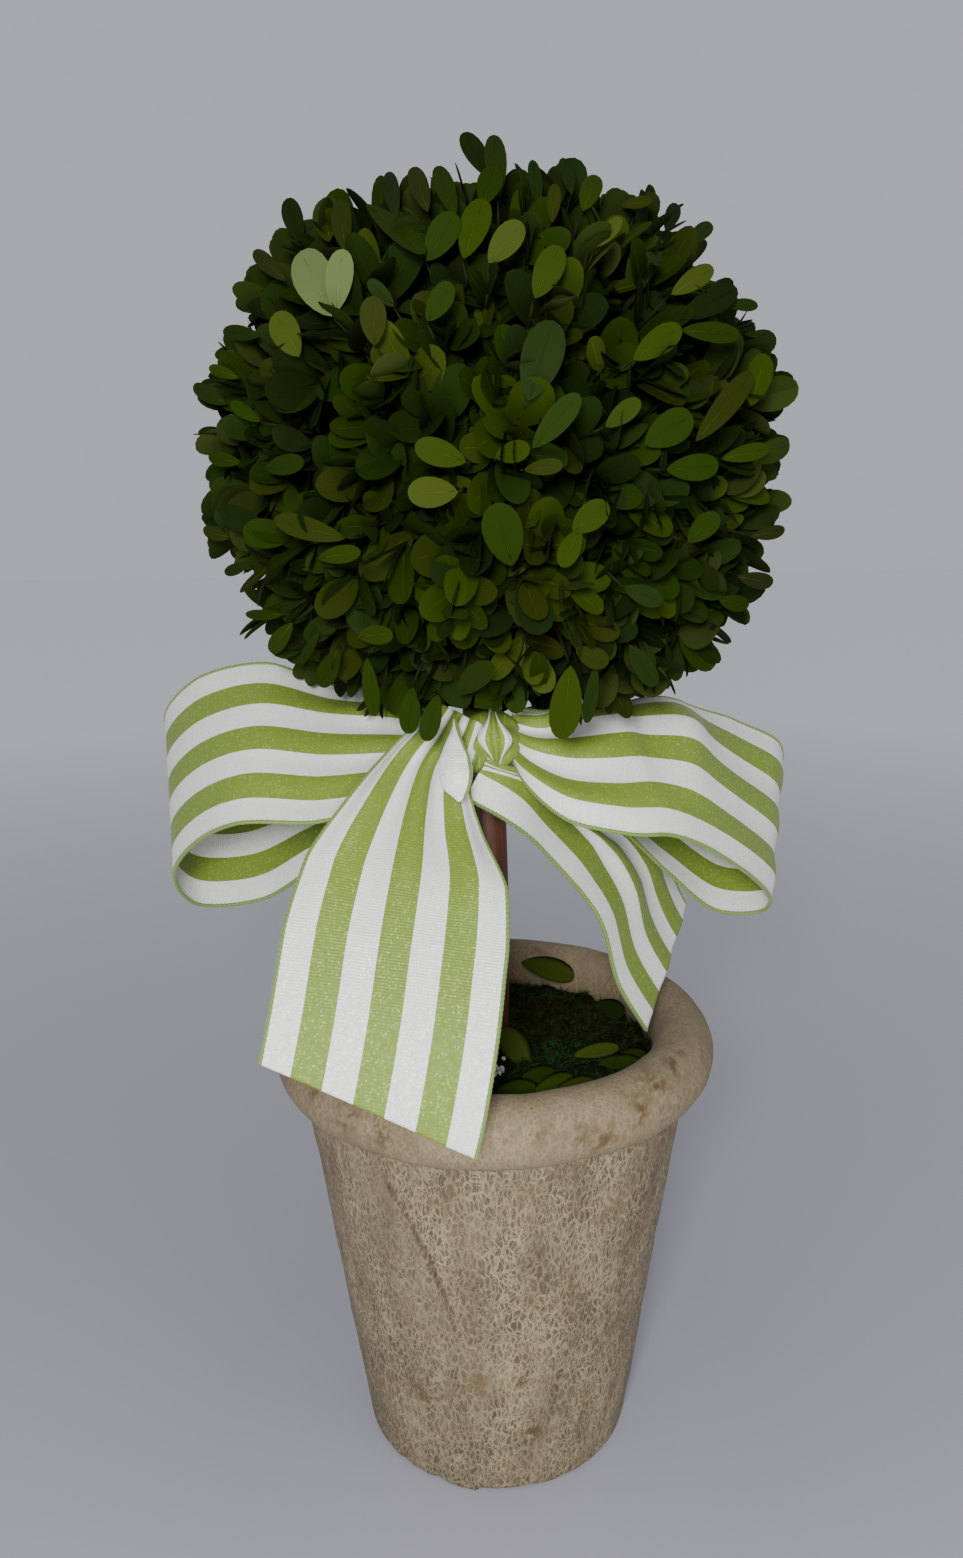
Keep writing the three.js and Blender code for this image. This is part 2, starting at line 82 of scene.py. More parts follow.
print("middle grey, linear:", [round(v, 3) for v in linear("#808080")[:3]])

# %% [markdown]
# A camera that looks from where the photograph was taken is the best check on every shape, so
# it comes first. It stands 378 mm in front of the stem and 322 mm up, and looks 12.8 degrees
# down. A long side of 1558 pixels and a focal length of 1170 pixels make a 27 mm lens.

# %% Camera at the photograph's viewing angle
CAMERA_PLACE = np.array([-3.2, -378, 322])
CAMERA_PITCH = math.radians(12.81)
CAMERA_ROLL = math.radians(-0.69)
PHOTO_HEIGHT = 1558
FOCAL_PIXELS = 1170
SENSOR = 36


def camera_frame():
    """Right, up and back of the camera: pitched about X, then rolled about its own view."""
    up = np.array([0, math.sin(CAMERA_PITCH), math.cos(CAMERA_PITCH)])
    back = np.array([0, -math.cos(CAMERA_PITCH), math.sin(CAMERA_PITCH)])
    right = np.array([1.0, 0, 0])
    cos, sin = math.cos(CAMERA_ROLL), math.sin(CAMERA_ROLL)
    return np.stack([cos * right + sin * up, cos * up - sin * right, back], axis=1)


camera = bpy.data.objects.new("camera", bpy.data.cameras.new("camera"))
bpy.context.scene.collection.objects.link(camera)
placed = np.eye(4)
placed[:3, :3] = camera_frame()
placed[:3, 3] = CAMERA_PLACE * MM
camera.matrix_world = mathutils.Matrix(placed)
camera.data.sensor_width = SENSOR
camera.data.lens = SENSOR * FOCAL_PIXELS / PHOTO_HEIGHT
bpy.context.scene.camera = camera
print("lens in mm:", round(camera.data.lens, 2))

# %% [markdown]
# The photograph was lit from just above the lens, so its shadows are short and close. One
# panel a little left of the camera does that, a low one reaches into the loops, and a wide
# weak one on the right softens both. A pale grey sky fills the rest.


# %% Lights and sky
def panel(name, place, target, size, power):
    """A square area light at a place in mm, turned to face a target."""
    light = bpy.data.lights.new(name, "AREA")
    light.size = size * MM
    light.energy = power
    made = bpy.data.objects.new(name, light)
    back = np.array(place, float) - np.array(target)
    back /= np.linalg.norm(back)
    right = np.cross((0, 0, 1), back)
    right /= np.linalg.norm(right)
    turn = np.eye(4)
    turn[:3, :3] = np.stack([right, np.cross(back, right), back], axis=1)
    turn[:3, 3] = np.array(place) * MM
    made.matrix_world = mathutils.Matrix(turn)
    bpy.context.scene.collection.objects.link(made)


panel("key", (-50, -520, 405), (0, 0, 240), 100, 3.4)
panel("low", (-30, -430, 60), (0, 0, 210), 240, 1.4)
panel("fill", (420, -480, 420), (0, 0, 220), 500, 0.8)
SKY, SKY_STRENGTH = "#cbccd4", 0.8
world = bpy.data.worlds.new("pale_sky")
world.use_nodes = True
world.node_tree.nodes["Background"].inputs["Color"].default_value = linear(SKY)
world.node_tree.nodes["Background"].inputs["Strength"].default_value = SKY_STRENGTH
bpy.context.scene.world = world
print("lights:", len(bpy.data.lights))

# %% [markdown]
# Most pieces here are skins over a grid of points: a profile carried round a circle, or a
# strip carried along a route. One helper turns such a grid into triangles, joins its last
# column to its first, and shrinks a row that has become one point to a single vertex.


# %% Helpers for grids
def faces_over(number):
    """Triangles over a grid of point numbers that closes round its columns, without those that
    have shrunk to a line. Returns them counted anew, and which numbers are still used."""
    number = np.hstack([number, number[:, :1]])
    a, b, c, d = number[:-1, :-1], number[:-1, 1:], number[1:, 1:], number[1:, :-1]
    faces = np.stack([np.stack([a, b, c], -1), np.stack([a, c, d], -1)], axis=2).reshape(-1, 3)
    first, second, third = faces.T
    faces = faces[(first != second) & (second != third) & (third != first)]
    used, faces = np.unique(faces, return_inverse=True)
    return faces.reshape(-1, 3), used


def skin(points, poles=(True, True)):
    """The skin of a grid of points (rows, columns, 3) that closes round its columns. A pole
    row is one point. Returns points, triangles and which grid point each vertex came from."""
    rows, columns = points.shape[:2]
    number = np.arange(rows * columns).reshape(rows, columns)
    for row, pole in zip((0, -1), poles):
        if pole:
            number[row] = number[row, 0]
    faces, used = faces_over(number)
    return points.reshape(-1, 3)[used], faces, used


def outward(points, faces):
    """The faces turned to point out: the volume under them, a.(b x c) / 6, has to be above 0."""
    a, b, c = (points[faces[:, k]] for k in range(3))
    volume = np.einsum("ij,ij->", a, np.cross(b, c)) / 6
    return faces if volume > 0 else faces[:, ::-1]


def joined(parts):
    """Several (points, faces) as one pair, with each part's faces counted on from the last."""
    offsets = np.cumsum([0] + [len(points) for points, _ in parts[:-1]])
    return (
        np.concatenate([points for points, _ in parts]),
        np.concatenate([faces + offset for (_, faces), offset in zip(parts, offsets)]),
    )


# %% [markdown]
# A mesh object is made straight from arrays: its points, the corners of its faces, and where
# each face starts. A piece then rides on this part's one body and says which imported nodes
# it stands for.


# %% Mesh objects
def make_piece(name, points, faces, materials, uv=None, kind=None, marks=None):
    """A named smooth mesh object from points in mm, with an optional UV and marks for each
    point and an optional material number for each face."""
    mesh = bpy.data.meshes.new(name)
    corners = faces.shape[1]
    mesh.vertices.add(len(points))
    mesh.vertices.foreach_set("co", (points * MM).astype(np.float32).ravel())
    mesh.loops.add(faces.size)
    mesh.loops.foreach_set("vertex_index", faces.astype(np.int32).ravel())
    mesh.polygons.add(len(faces))
    mesh.polygons.foreach_set("loop_start", np.arange(0, faces.size, corners, dtype=np.int32))
    mesh.polygons.foreach_set("use_smooth", np.ones(len(faces), bool))
    if kind is not None:
        mesh.polygons.foreach_set("material_index", kind.astype(np.int32))
    if uv is not None:
        layer = mesh.uv_layers.new(name="UVMap")
        layer.data.foreach_set("uv", uv[faces.ravel()].astype(np.float32).ravel())
    for label, values in (marks or {}).items():
        layer = mesh.attributes.new(label, "FLOAT", "POINT")
        layer.data.foreach_set("value", values.astype(np.float32))
    for material in materials:
        mesh.materials.append(material)
    mesh.update(calc_edges=True)
    mesh.validate()
    made = bpy.data.objects.new(name, mesh)
    bpy.context.scene.collection.objects.link(made)
    print(f"{name}: {len(faces)} faces")
    return made


def dress(piece, slot, *nodes):
    """The piece rides on the one body and stands for CAD nodes. Its slot is not used."""
    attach(piece, "root")
    if nodes:
        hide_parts(*nodes)


# %% [markdown]
# Stone, moss and bark are never smooth. Value noise gives them relief: random numbers sit on
# a lattice, and every point blends the eight numbers round it.


# %% Relief from value noise
LATTICE = 32


def rough(points, size, seed):
    """Value noise from -1 to 1 with bumps of a size in mm. With t the place inside a lattice
    cube, each corner counts w or 1 - w along each axis, where w = t * t * (3 - 2 * t)."""
    lattice = np.random.default_rng(seed).uniform(-1, 1, (LATTICE,) * 3)
    place = points / size + 1000.0
    cell = np.floor(place).astype(int)
    inside = place - cell
    blend = inside * inside * (3 - 2 * inside)
    value = np.zeros(points.shape[:-1])
    for corner in itertools.product((0, 1), repeat=3):
        weight = np.prod(np.where(corner, blend, 1 - blend), axis=-1)
        x, y, z = np.moveaxis((cell + corner) % LATTICE, -1, 0)
        value += weight * lattice[x, y, z]
    return value


print("noise at three points:", rough(np.array([[0, 0, 0], [3, 1, 4], [9, 2, 6]]), 5, 1).round(2))

# %% [markdown]
# Materials are built from shader nodes. One helper adds a node, sets what it is told, and
# fills each input with a number or with a link from another node.


# %% Helpers for materials
def add(tree, kind, inputs=None, stops=None, **settings):
    """Adds a shader node. inputs are values or sockets by name or number, and stops are the
    (place, grey or hex) pairs of a colour ramp."""
    made = tree.nodes.new(kind)
    for name, value in settings.items():
        setattr(made, name, value)
    for name, value in (inputs or {}).items():
        if isinstance(value, bpy.types.NodeSocket):
            tree.links.new(value, made.inputs[name])
        else:
            made.inputs[name].default_value = value
    for number, (place, tone) in enumerate(stops or []):
        ramp = made.color_ramp.elements
        stop = ramp[number] if number < len(ramp) and number < 2 else ramp.new(place)
        stop.position = place
        stop.color = linear(tone) if isinstance(tone, str) else (tone, tone, tone, 1)
    return made


def new_material(name, **values):
    """A named material and its shader, with plain values on the shader's own sockets."""
    made = bpy.data.materials.new(name)
    made.use_nodes = True
    shader = made.node_tree.nodes["Principled BSDF"]
    for socket, value in values.items():
        shader.inputs[socket.replace("_", " ")].default_value = value
    return made, made.node_tree, shader


def per_mm(size):
    """The scale that gives a texture on Object coordinates, in metres, a size in mm."""
    return 1 / (size * MM)


def mixed(tree, share, first, second):
    """The colour between first and second, hex codes or sockets, at a share."""
    first, second = (linear(c) if isinstance(c, str) else c for c in (first, second))
    return add(tree, "ShaderNodeMix", {0: share, 6: first, 7: second}, data_type="RGBA").outputs[2]


def coat(tree, shader, tone, height=None, strength=0.0, depth=0.0):
    """Links the colour, and where the finish has a height, a bump of a depth in mm."""
    tree.links.new(tone, shader.inputs["Base Color"])
    if height is not None:
        inputs = {"Strength": strength, "Distance": depth * MM, "Height": height}
        tree.links.new(add(tree, "ShaderNodeBump", inputs).outputs[0], shader.inputs["Normal"])


def plain_material(name, colour, **values):
    """A material of one colour all over."""
    made, _, shader = new_material(name, **values)
    shader.inputs["Base Color"].default_value = linear(colour)
    return made


# %% [markdown]
# Patterns are made from a few kinds of node: noise, a change of range, a step of arithmetic,
# a stretch along the height and a colour ramp. Each gets a helper, so that a finish reads as
# a list of what lies on what.


# %% Helpers for patterns
def object_place(tree):
    """The place on the piece, in metres."""
    return add(tree, "ShaderNodeTexCoord").outputs["Object"]


def noise(tree, place, size, detail):
    """Soft noise from 0 to 1 with patches of a size in mm."""
    inputs = {"Vector": place, "Scale": per_mm(size), "Detail": detail}
    return add(tree, "ShaderNodeTexNoise", inputs).outputs[0]


def ranged(tree, value, low, high, to_low, to_high):
    """A value carried from the range low to high over to the range to_low to to_high."""
    inputs = {0: value, 1: low, 2: high, 3: to_low, 4: to_high}
    return add(tree, "ShaderNodeMapRange", inputs).outputs[0]


def maths(tree, operation, *values):
    """One step of arithmetic on one or two values or sockets."""
    return add(tree, "ShaderNodeMath", dict(enumerate(values)), operation=operation).outputs[0]


def stretched(tree, place, upright):
    """The place with its height scaled: below 1, a pattern on it is drawn out upwards."""
    return add(tree, "ShaderNodeMapping", {"Vector": place, "Scale": (1, 1, upright)}).outputs[0]


def toned(tree, value, *stops):
    """The colour that a ramp of (place, hex) stops gives a value."""
    return add(tree, "ShaderNodeValToRGB", {0: value}, stops=stops).outputs[0]


# %% [markdown]
# The floor is one plain pale sheet. If it were one grey to the horizon it would end in a hard
# line, because only the sky lights it far away. So its colour is painted paler with distance,
# standing in for the light it lacks, until it has the sky's own tone.

# %% Floor
FLOOR_HALF = 6000
PALE_FROM, PALE_TO = 0.1, 1.5
floor_material, tree, shader = new_material("studio_floor_matt", Roughness=0.9)
far = add(tree, "ShaderNodeVectorMath", {0: object_place(tree)}, operation="LENGTH")
far = ranged(tree, far.outputs["Value"], PALE_FROM, PALE_TO, 0, 1)
# Painted light: the floor's colour goes from grey near the pot to near white far away
coat(tree, shader, mixed(tree, far, "#9b9ba4", "#fbfbfb"))
floor_points = np.array([[-1, -1, 0], [1, -1, 0], [1, 1, 0], [-1, 1, 0]], float) * FLOOR_HALF
floor = make_piece("floor", floor_points, np.array([[0, 1, 2, 3]]), [floor_material])

# %% [markdown]
# The pot is cast stone that has been weathered: a straight flared wall under a thick rolled
# rim. A lathe would give a perfect turned shape. Here the same outline is carried round the
# middle, and noise and one raised flake then push it out of true, as on the real pot.

# %% Pot: outline
POT_SIDES = 360
POT_HEIGHT = 155
FOOT_RADIUS, FOOT_ROUND = 47, 3
NECK_RADIUS, RIM_RADIUS = 66, 65
RIM_HALF_WIDTH, RIM_HALF_HEIGHT = 10, 11
RIM_BOTTOM = POT_HEIGHT - 2 * RIM_HALF_HEIGHT
POT_WALL, POT_FLOOR = 8, 9


def wall_radius(height):
    """Radius of the pot's outside: straight from foot to neck."""
    return FOOT_RADIUS + (NECK_RADIUS - FOOT_RADIUS) * height / RIM_BOTTOM


def arc(middle, half, start, end, count):
    """Points of an elliptic arc in the (radius, height) plane, angles in degrees."""
    turn = np.radians(np.linspace(start, end, count))
    return np.stack([middle[0] + half[0] * np.cos(turn), middle[1] + half[1] * np.sin(turn)], 1)


def straight(start, end, count):
    """Evenly spaced points from start to end, without the first."""
    share = np.linspace(0, 1, count + 1)[1:, None]
    return np.array(start) * (1 - share) + np.array(end) * share


def pot_outline():
    """Radius and height from the middle of the underside, up the wall, over and down inside."""
    rim_middle = (RIM_RADIUS, POT_HEIGHT - RIM_HALF_HEIGHT)
    inner_top = RIM_BOTTOM + 2
    inside = (wall_radius(inner_top) - POT_WALL, inner_top)
    corner = (wall_radius(POT_FLOOR) - POT_WALL, POT_FLOOR)
    return np.concatenate(
        [
            [[0, 0]],
            straight((0, 0), (FOOT_RADIUS - FOOT_ROUND, 0), 5),
            arc((FOOT_RADIUS - FOOT_ROUND, FOOT_ROUND), (FOOT_ROUND,) * 2, -75, 0, 6),
            straight((FOOT_RADIUS, FOOT_ROUND), (NECK_RADIUS, RIM_BOTTOM), 112),
            arc(rim_middle, (RIM_HALF_WIDTH, RIM_HALF_HEIGHT), -72, 216, 56),
            straight(inside, corner, 30),
            straight(corner, (0, POT_FLOOR), 4),
        ]
    )


# %% [markdown]
# To turn the outline, each of its points is carried round a ring of directions. That gives a
# grid with a row for each point of the outline and a column for each step round the pot.


# %% Pot: turned grid
def circle_of(count):
    """The cosine and sine of angles spaced evenly round a circle, a row for each."""
    turn = np.linspace(0, 2 * np.pi, count, endpoint=False)
    return np.stack([np.cos(turn), np.sin(turn)], axis=1)


def lathed(radii, heights, ring):
    """The grid of an outline of radii and heights that is carried round a ring."""
    flat = radii[:, None, None] * ring
    tall = np.broadcast_to(heights[:, None, None], (*flat.shape[:2], 1))
    return np.concatenate([flat, tall], axis=2)


outline = pot_outline()
ring = circle_of(POT_SIDES)
pot_grid = lathed(*outline.T, ring)
print("pot grid:", pot_grid.shape)

# %% [markdown]
# A thin flake of the surface stands proud on the pot's front left. Its edge runs from under
# the rim down to the foot, steep at first and then nearly upright. A dark line of painted
# shadow runs along its upper part, and another of painted shade lies in the groove under the
# rim.

# %% Pot: relief
# Angle round the pot in degrees, and height in mm
FLAKE_EDGE = np.array(
    [(-121.5, 124), (-119.6, 118), (-114, 108.5), (-110, 96), (-105.6, 80.5)]
    + [(-103.2, 66), (-100.8, 33), (-99.2, 8.5), (-98.8, 0)]
)
FLAKE_HEIGHT, FLAKE_WIDTH = 0.9, 22
# Rows of the outline that stay as turned: those under the foot and those inside the pot
UNDERSIDE_ROWS, INNER_ROWS = 6, 34


def flake_distance(points):
    """How far a point lies to the left of the flake's edge, round the pot, in mm."""
    degrees = np.degrees(np.arctan2(points[..., 1], points[..., 0]))
    order = np.argsort(FLAKE_EDGE[:, 1])
    edge = np.interp(points[..., 2], FLAKE_EDGE[order, 1], FLAKE_EDGE[order, 0])
    edge = edge + 0.8 * rough(points, 5, 21)
    return np.radians(edge - degrees) * np.hypot(points[..., 0], points[..., 1])


def pot_relief(points):
    """How far the surface stands out, in mm: broad dents, grit, chips off the foot, and the
    flake, which rises in 1.2 mm at its edge and fades out over its width. The rim is
    smoother than the wall."""
    on_rim = np.clip((points[..., 2] - RIM_BOTTOM + 2) / 3, 0, 1)
    dents = 0.45 * rough(points, 26, 1) + 0.22 * rough(points, 9, 2)
    grit = (0.13 - 0.07 * on_rim) * rough(points * (1, 1, 0.5), 2.6, 3)
    chips = -1.1 * np.clip(rough(points, 7, 4), 0, 1) * np.exp(-((points[..., 2] - 1) / 3) ** 2)
    distance = flake_distance(points)
    rise = np.clip(distance / 1.2 + 0.5, 0, 1)
    flake = rise * np.clip(1 - distance / FLAKE_WIDTH, 0, 1) ** 1.5 * (distance > -2)
    below_rim = np.clip((FLAKE_EDGE[0, 1] - points[..., 2]) / 12, 0, 1)
    return dents + grit + chips + FLAKE_HEIGHT * flake * below_rim * (1 - on_rim)


# %% [markdown]
# The same distance from the flake's edge gives the painted shadow lines. Then the relief
# pushes every point out along the outline's normal, except under the foot and inside the pot.


# %% Pot: painted shadow lines and finished surface
def painted_shadow_lines_and_flake_tone(points):
    """Strength of the painted shadow lines, exp(-(distance / width) ** 2): painted shadow along
    the flake's edge and painted shade in the groove under the rim. Also the strength of the
    flake's own tone, strongest beside its edge."""
    distance, height = flake_distance(points), points[:, 2]
    # Painted shadow of the raised flake along its edge, fainter low down
    line = np.exp(-((distance / 0.75) ** 2)) * np.clip((height - 55) / 30, 0.12, 1)
    # Painted shade in the groove under the rim
    groove = 0.75 * np.exp(-(((height - RIM_BOTTOM - 0.4) / 0.8) ** 2))
    groove = groove * (np.hypot(*points[:, :2].T) > RIM_RADIUS - 3)
    shade = np.clip(distance / 3, 0, 1) * np.clip(1 - distance / 26, 0, 1)
    line = np.maximum(line * (height < RIM_BOTTOM - 11), groove)
    return line, shade * np.clip((height - 50) / 30, 0, 1)


out = np.gradient(outline, axis=0)[:, ::-1] * (1, -1)
out /= np.linalg.norm(out, axis=1, keepdims=True)
push = pot_relief(pot_grid)
push[:UNDERSIDE_ROWS] = 0
push[-INNER_ROWS:] = 0
pot_grid[..., :2] += (push * out[:, :1])[..., None] * ring
pot_grid[..., 2] = np.maximum(pot_grid[..., 2] + push * out[:, 1:], 0)
pot_points, pot_faces, _ = skin(pot_grid)
painted_shadow_line, flake_side = painted_shadow_lines_and_flake_tone(pot_points)
print("pot relief in mm:", round(push.min(), 2), "to", round(push.max(), 2))

# %% [markdown]
# Stains sit where the real pot has them: brown patches along the right of the rim and a few
# low on the front. Each is a place and a size, and the mark fades out from its middle.

# %% Pot: stains
STAINS = [
    (48, -53, 152, 6),
    (32, -69, 143, 5.5),
    (56, -42, 153, 4.5),
    (58, -36, 154, 3),
    (43, -60, 148, 4.5),
    (24, -71, 146, 3),
    (12, -72, 147, 2.6),
    (2, -73, 148, 2.4),
    (-44, -59, 147, 5),
    (-56, -50, 149, 3),
    (-34, -66, 145, 4),
    (7, -53, 50, 3.4),
    (11, -50, 26, 4.6),
    (-27, -45, 38, 4),
    (26, -51, 84, 5),
]


def stain_marks(points):
    """The strongest of exp(-(distance / size) ** 2) over the stains, broken up by noise."""
    mark = np.zeros(len(points))
    for x, y, z, size in STAINS:
        far = np.linalg.norm((points - (x, y, z)) * (1, 1, 0.8), axis=1)
        mark = np.maximum(mark, np.exp(-((far / size) ** 2)))
    return mark * np.clip(0.3 + 1.6 * rough(points, 2.4, 8) + 1.2 * rough(points, 1.1, 9), 0, 1)


pot_marks = {"painted_shadow_line": painted_shadow_line, "flake": flake_side, "stain": stain_marks(pot_points)}
print("stains:", len(STAINS))

# %% [markdown]
# Weathered cast stone is matt and warm grey. Its ground varies over a few centimetres, and
# water has drawn dark streaks down the wall. The rolled rim is paler and has fewer of them.

# %% Cast stone: ground and streaks
stone, tree, shader = new_material("cast_stone_weathered", Roughness=0.82)
place = object_place(tree)
tone = toned(tree, noise(tree, place, 34, 4), (0.32, "#4e422f"), (0.68, "#6b5d45"))
height = add(tree, "ShaderNodeSeparateXYZ", {0: place}).outputs["Z"]
on_wall = ranged(tree, height, 0.131, 0.137, 1, 0.5)
streaks = noise(tree, stretched(tree, place, 0.16), 5, 5)
streak_share = maths(tree, "MULTIPLY", ranged(tree, streaks, 0.38, 0.68, 0, 0.9), on_wall)
tone = mixed(tree, streak_share, tone, "#443827")
tone = mixed(tree, ranged(tree, on_wall, 1, 0.5, 0, 0.6), tone, "#75664d")
print("stone nodes so far:", len(tree.nodes))

# %% [markdown]
# A net of pale salt veins covers the wall. A texture of cells that are stretched three times
# along Z gives the net: the distance to a cell's edge is small along thin lines. The place
# is first moved about by noise, because cells with straight sides would look cut. Two nets
# of different size lie over each other, and noise leaves gaps in both.

# %% Cast stone: salt veins
VEIN_SHARE, VEIN_WIDTH = 0.6, 0.13
drift = add(tree, "ShaderNodeTexNoise", {"Vector": place, "Scale": per_mm(7), "Detail": 3})
inputs = {0: drift.outputs["Color"], 1: (0.5, 0.5, 0.5)}
drift = add(tree, "ShaderNodeVectorMath", inputs, operation="SUBTRACT").outputs[0]
drift = add(tree, "ShaderNodeVectorMath", {0: drift, "Scale": 5 * MM}, operation="SCALE")
inputs = {0: place, 1: drift.outputs[0]}
drifted = add(tree, "ShaderNodeVectorMath", inputs, operation="ADD").outputs[0]
drawn_out = stretched(tree, drifted, 0.33)
for cell_size, shift in ((1.9, 0.0), (1.25, 3.7)):
    inputs = {"Vector": drawn_out, "Location": (shift,) * 3}
    moved = add(tree, "ShaderNodeMapping", inputs).outputs[0]
    inputs = {"Vector": moved, "Scale": per_mm(cell_size)}
    net = add(tree, "ShaderNodeTexVoronoi", inputs, feature="DISTANCE_TO_EDGE").outputs[0]
    line = ranged(tree, net, 0, VEIN_WIDTH, VEIN_SHARE, 0)
    patch = ranged(tree, noise(tree, moved, 11, 3), 0.36, 0.6, 0.3, 1)
    line = maths(tree, "MULTIPLY", maths(tree, "MULTIPLY", line, patch), on_wall)
    tone = mixed(tree, line, tone, "#a19477")
print("with the veins:", len(tree.nodes))

# %% [markdown]
# Over the veins lie brown blotches and dark specks of grit, then the marks that were worked
# out point by point: the flake's own tone, the painted shadow lines and the stains. Grains of
# 0.9 mm give the surface its tooth as a bump, since they are too small to be worth a mesh.

# %% Cast stone: blotches, grit and marks
blotch = ranged(tree, noise(tree, drifted, 13, 5), 0.58, 0.74, 0, 0.7)
tone = mixed(tree, blotch, tone, "#5e4a30")
speck = add(tree, "ShaderNodeTexVoronoi", {"Vector": place, "Scale": per_mm(3.4)}).outputs[0]
sparse = ranged(tree, noise(tree, place, 9, 2), 0.42, 0.58, 0, 1)
speck = maths(tree, "MULTIPLY", ranged(tree, speck, 0.05, 0.16, 0.75, 0), sparse)
tone = mixed(tree, speck, tone, "#3a3226")
for mark, share, colour in (
    ("flake", 0.45, "#6b5e49"),
    # Dark brown painted shadow along the flake's edge and painted shade in the groove under the rim
    ("painted_shadow_line", 1, "#3a2917"),
    ("stain", 1, "#4c3719"),
):
    marked = add(tree, "ShaderNodeAttribute", attribute_name=mark).outputs["Fac"]
    tone = mixed(tree, maths(tree, "MULTIPLY", marked, share), tone, colour)
coat(tree, shader, tone, noise(tree, place, 0.9, 4), 0.45, 0.35)

pot = make_piece("stone_pot", pot_points, outward(pot_points, pot_faces), [stone], marks=pot_marks)
dress(pot, "weathered_stone", "pot")

# %% [markdown]
# The filling is out of sight under the moss. It keeps its CAD mesh and gets a crumbly finish.

# %% Dry filling
plug, tree, shader = new_material("dry_foam_and_plaster", Roughness=0.95)
crumbs = noise(tree, object_place(tree), 4, 6)
coat(tree, shader, toned(tree, crumbs, (0.35, "#1d1711"), (0.7, "#4a3c2c")))
for slot in frame["nodes"]["filling"].material_slots:
    slot.material = plug
print("filling:", len(frame["nodes"]["filling"].data.polygons), "faces, kept from the model")

# %% [markdown]
# The stem is a stained wooden stick with a faint upright grain. It sways by less than a
# millimetre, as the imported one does, and runs up out of sight into the leaves.

# %% Stem
STEM_FOOT, STEM_TOP = 128.3, 362
STEM_RADIUS, STEM_TOP_RADIUS = 6.9, 6.2
STEM_X = -2
STEM_SWAY = (0.8, 0.5)
STEM_BENDS = (2.3, 1.4)


def stem_middle(height):
    """The stem's middle at a height: x and y each sway as a sine of the height."""
    turn = np.pi * (np.asarray(height, float) - STEM_FOOT) / (STEM_TOP - STEM_FOOT)
    return np.stack(
        [
            STEM_X + STEM_SWAY[0] * np.sin(STEM_BENDS[0] * turn),
            STEM_SWAY[1] * np.sin(STEM_BENDS[1] * turn),
        ],
        axis=-1,
    )


heights = np.linspace(STEM_FOOT, STEM_TOP, 170)
ring = circle_of(60)
radii = np.interp(heights, [STEM_FOOT, STEM_TOP], [STEM_RADIUS, STEM_TOP_RADIUS])
stem_grid = lathed(radii, heights, ring)
grain = 0.16 * rough(stem_grid * (1, 1, 0.06), 1.6, 31) + 0.12 * rough(stem_grid, 12, 32)
stem_grid[..., :2] += grain[..., None] * ring + stem_middle(heights)[:, None]
caps = lathed(np.zeros(2), heights[[0, -1]], ring)
caps[..., :2] += stem_middle(heights[[0, -1]])[:, None]
stem_points, stem_faces, _ = skin(np.concatenate([caps[:1], stem_grid, caps[1:]]))

wood, tree, shader = new_material("stained_wood", Roughness=0.5)
fibres = noise(tree, stretched(tree, object_place(tree), 0.05), 1.1, 5)
tone = toned(tree, fibres, (0.3, "#2e180e"), (0.55, "#57311c"), (0.75, "#694328"))
coat(tree, shader, tone, fibres, 0.3, 0.2)
stem = make_piece("wooden_stem", stem_points, outward(stem_points, stem_faces), [wood])
dress(stem, "stem_bark", "trunk")

# %% [markdown]
# The ribbon is wired: 63.5 mm wide, with seven even stripes and a thin overlocked wire along
# each edge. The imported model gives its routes. Each row is a place on the middle line, the
# way across the ribbon with the gathered width as its length, and a curl of the top edge.

# %% Ribbon: routes
RIBBON_WIDTH = 63.5
LOOP_LEFT = [
    (-12, -18, 253, -4, 7, 16, 0),
    (-20, -21, 253, -5, 19, 26, 10),
    (-34, -22, 253, -1, 34, 34, 24),
    (-52, -22, 253, 2, 46, 39, 28),
    (-74, -22, 255, 3, 46, 43, 8),
    (-94, -14, 247, -5, 44, 46, 0),
    (-106, -3, 233, -11, 44, 45, 0),
    (-102, 12, 220, -9, 40, 48, 0),
    (-86, 21, 217, -15, 43, 44, 0),
    (-64, 19, 226, -7, 45, 40, 0),
    (-39, 9, 238, 1, 33, 37, 0),
    (-22, -4, 246, 0, 18, 28, 0),
    (-12, -13, 252, -3, 7, 15, 0),
]
LOOP_RIGHT = [
    (6, -20, 255, 1, 3, 16, 0),
    (13, -25, 253, 6, 15, 22, -20),
    (24, -27, 252, 2, 33, 37, -45),
    (37, -25, 252, -9, 39, 46, -75),
    (50, -21, 252, -5, 40, 50, -85),
    (66, -12, 244, 2, 45, 45, -50),
    (83, -2, 232, 4, 44, 44, -12),
    (98, 10, 219, 10, 39, 46, 0),
    (99, 20, 210, 15, 44, 42, 0),
    (84, 24, 209, 15, 46, 41, 0),
    (62, 22, 222, 10, 48, 36, 0),
    (38, 10, 240, 0, 34, 36, 0),
    (20, -3, 248, -2, 17, 23, 0),
    (6, -12, 253, 1, 5, 14, 0),
]
TAIL_LEFT = [
    (-10, -26, 263, 15, -5, -7, 0),
    (-14, -28, 256, 19, -5, -8, 0),
    (-19.3, -32, 248, 25.4, -4, -9, 0),
    (-22.5, -41.5, 237, 39, 0, -11, 0),
    (-25, -55.5, 222, 58, -3, -10, 0),
    (-28, -68, 204, 63, -1, -9, 0),
    (-31, -80, 184, 63, -2, -9, 0),
    (-35.4, -88, 162, 62.2, -2, -12, 0),
    (-40.9, -91, 139, 60.4, -2, -13, 0),
]
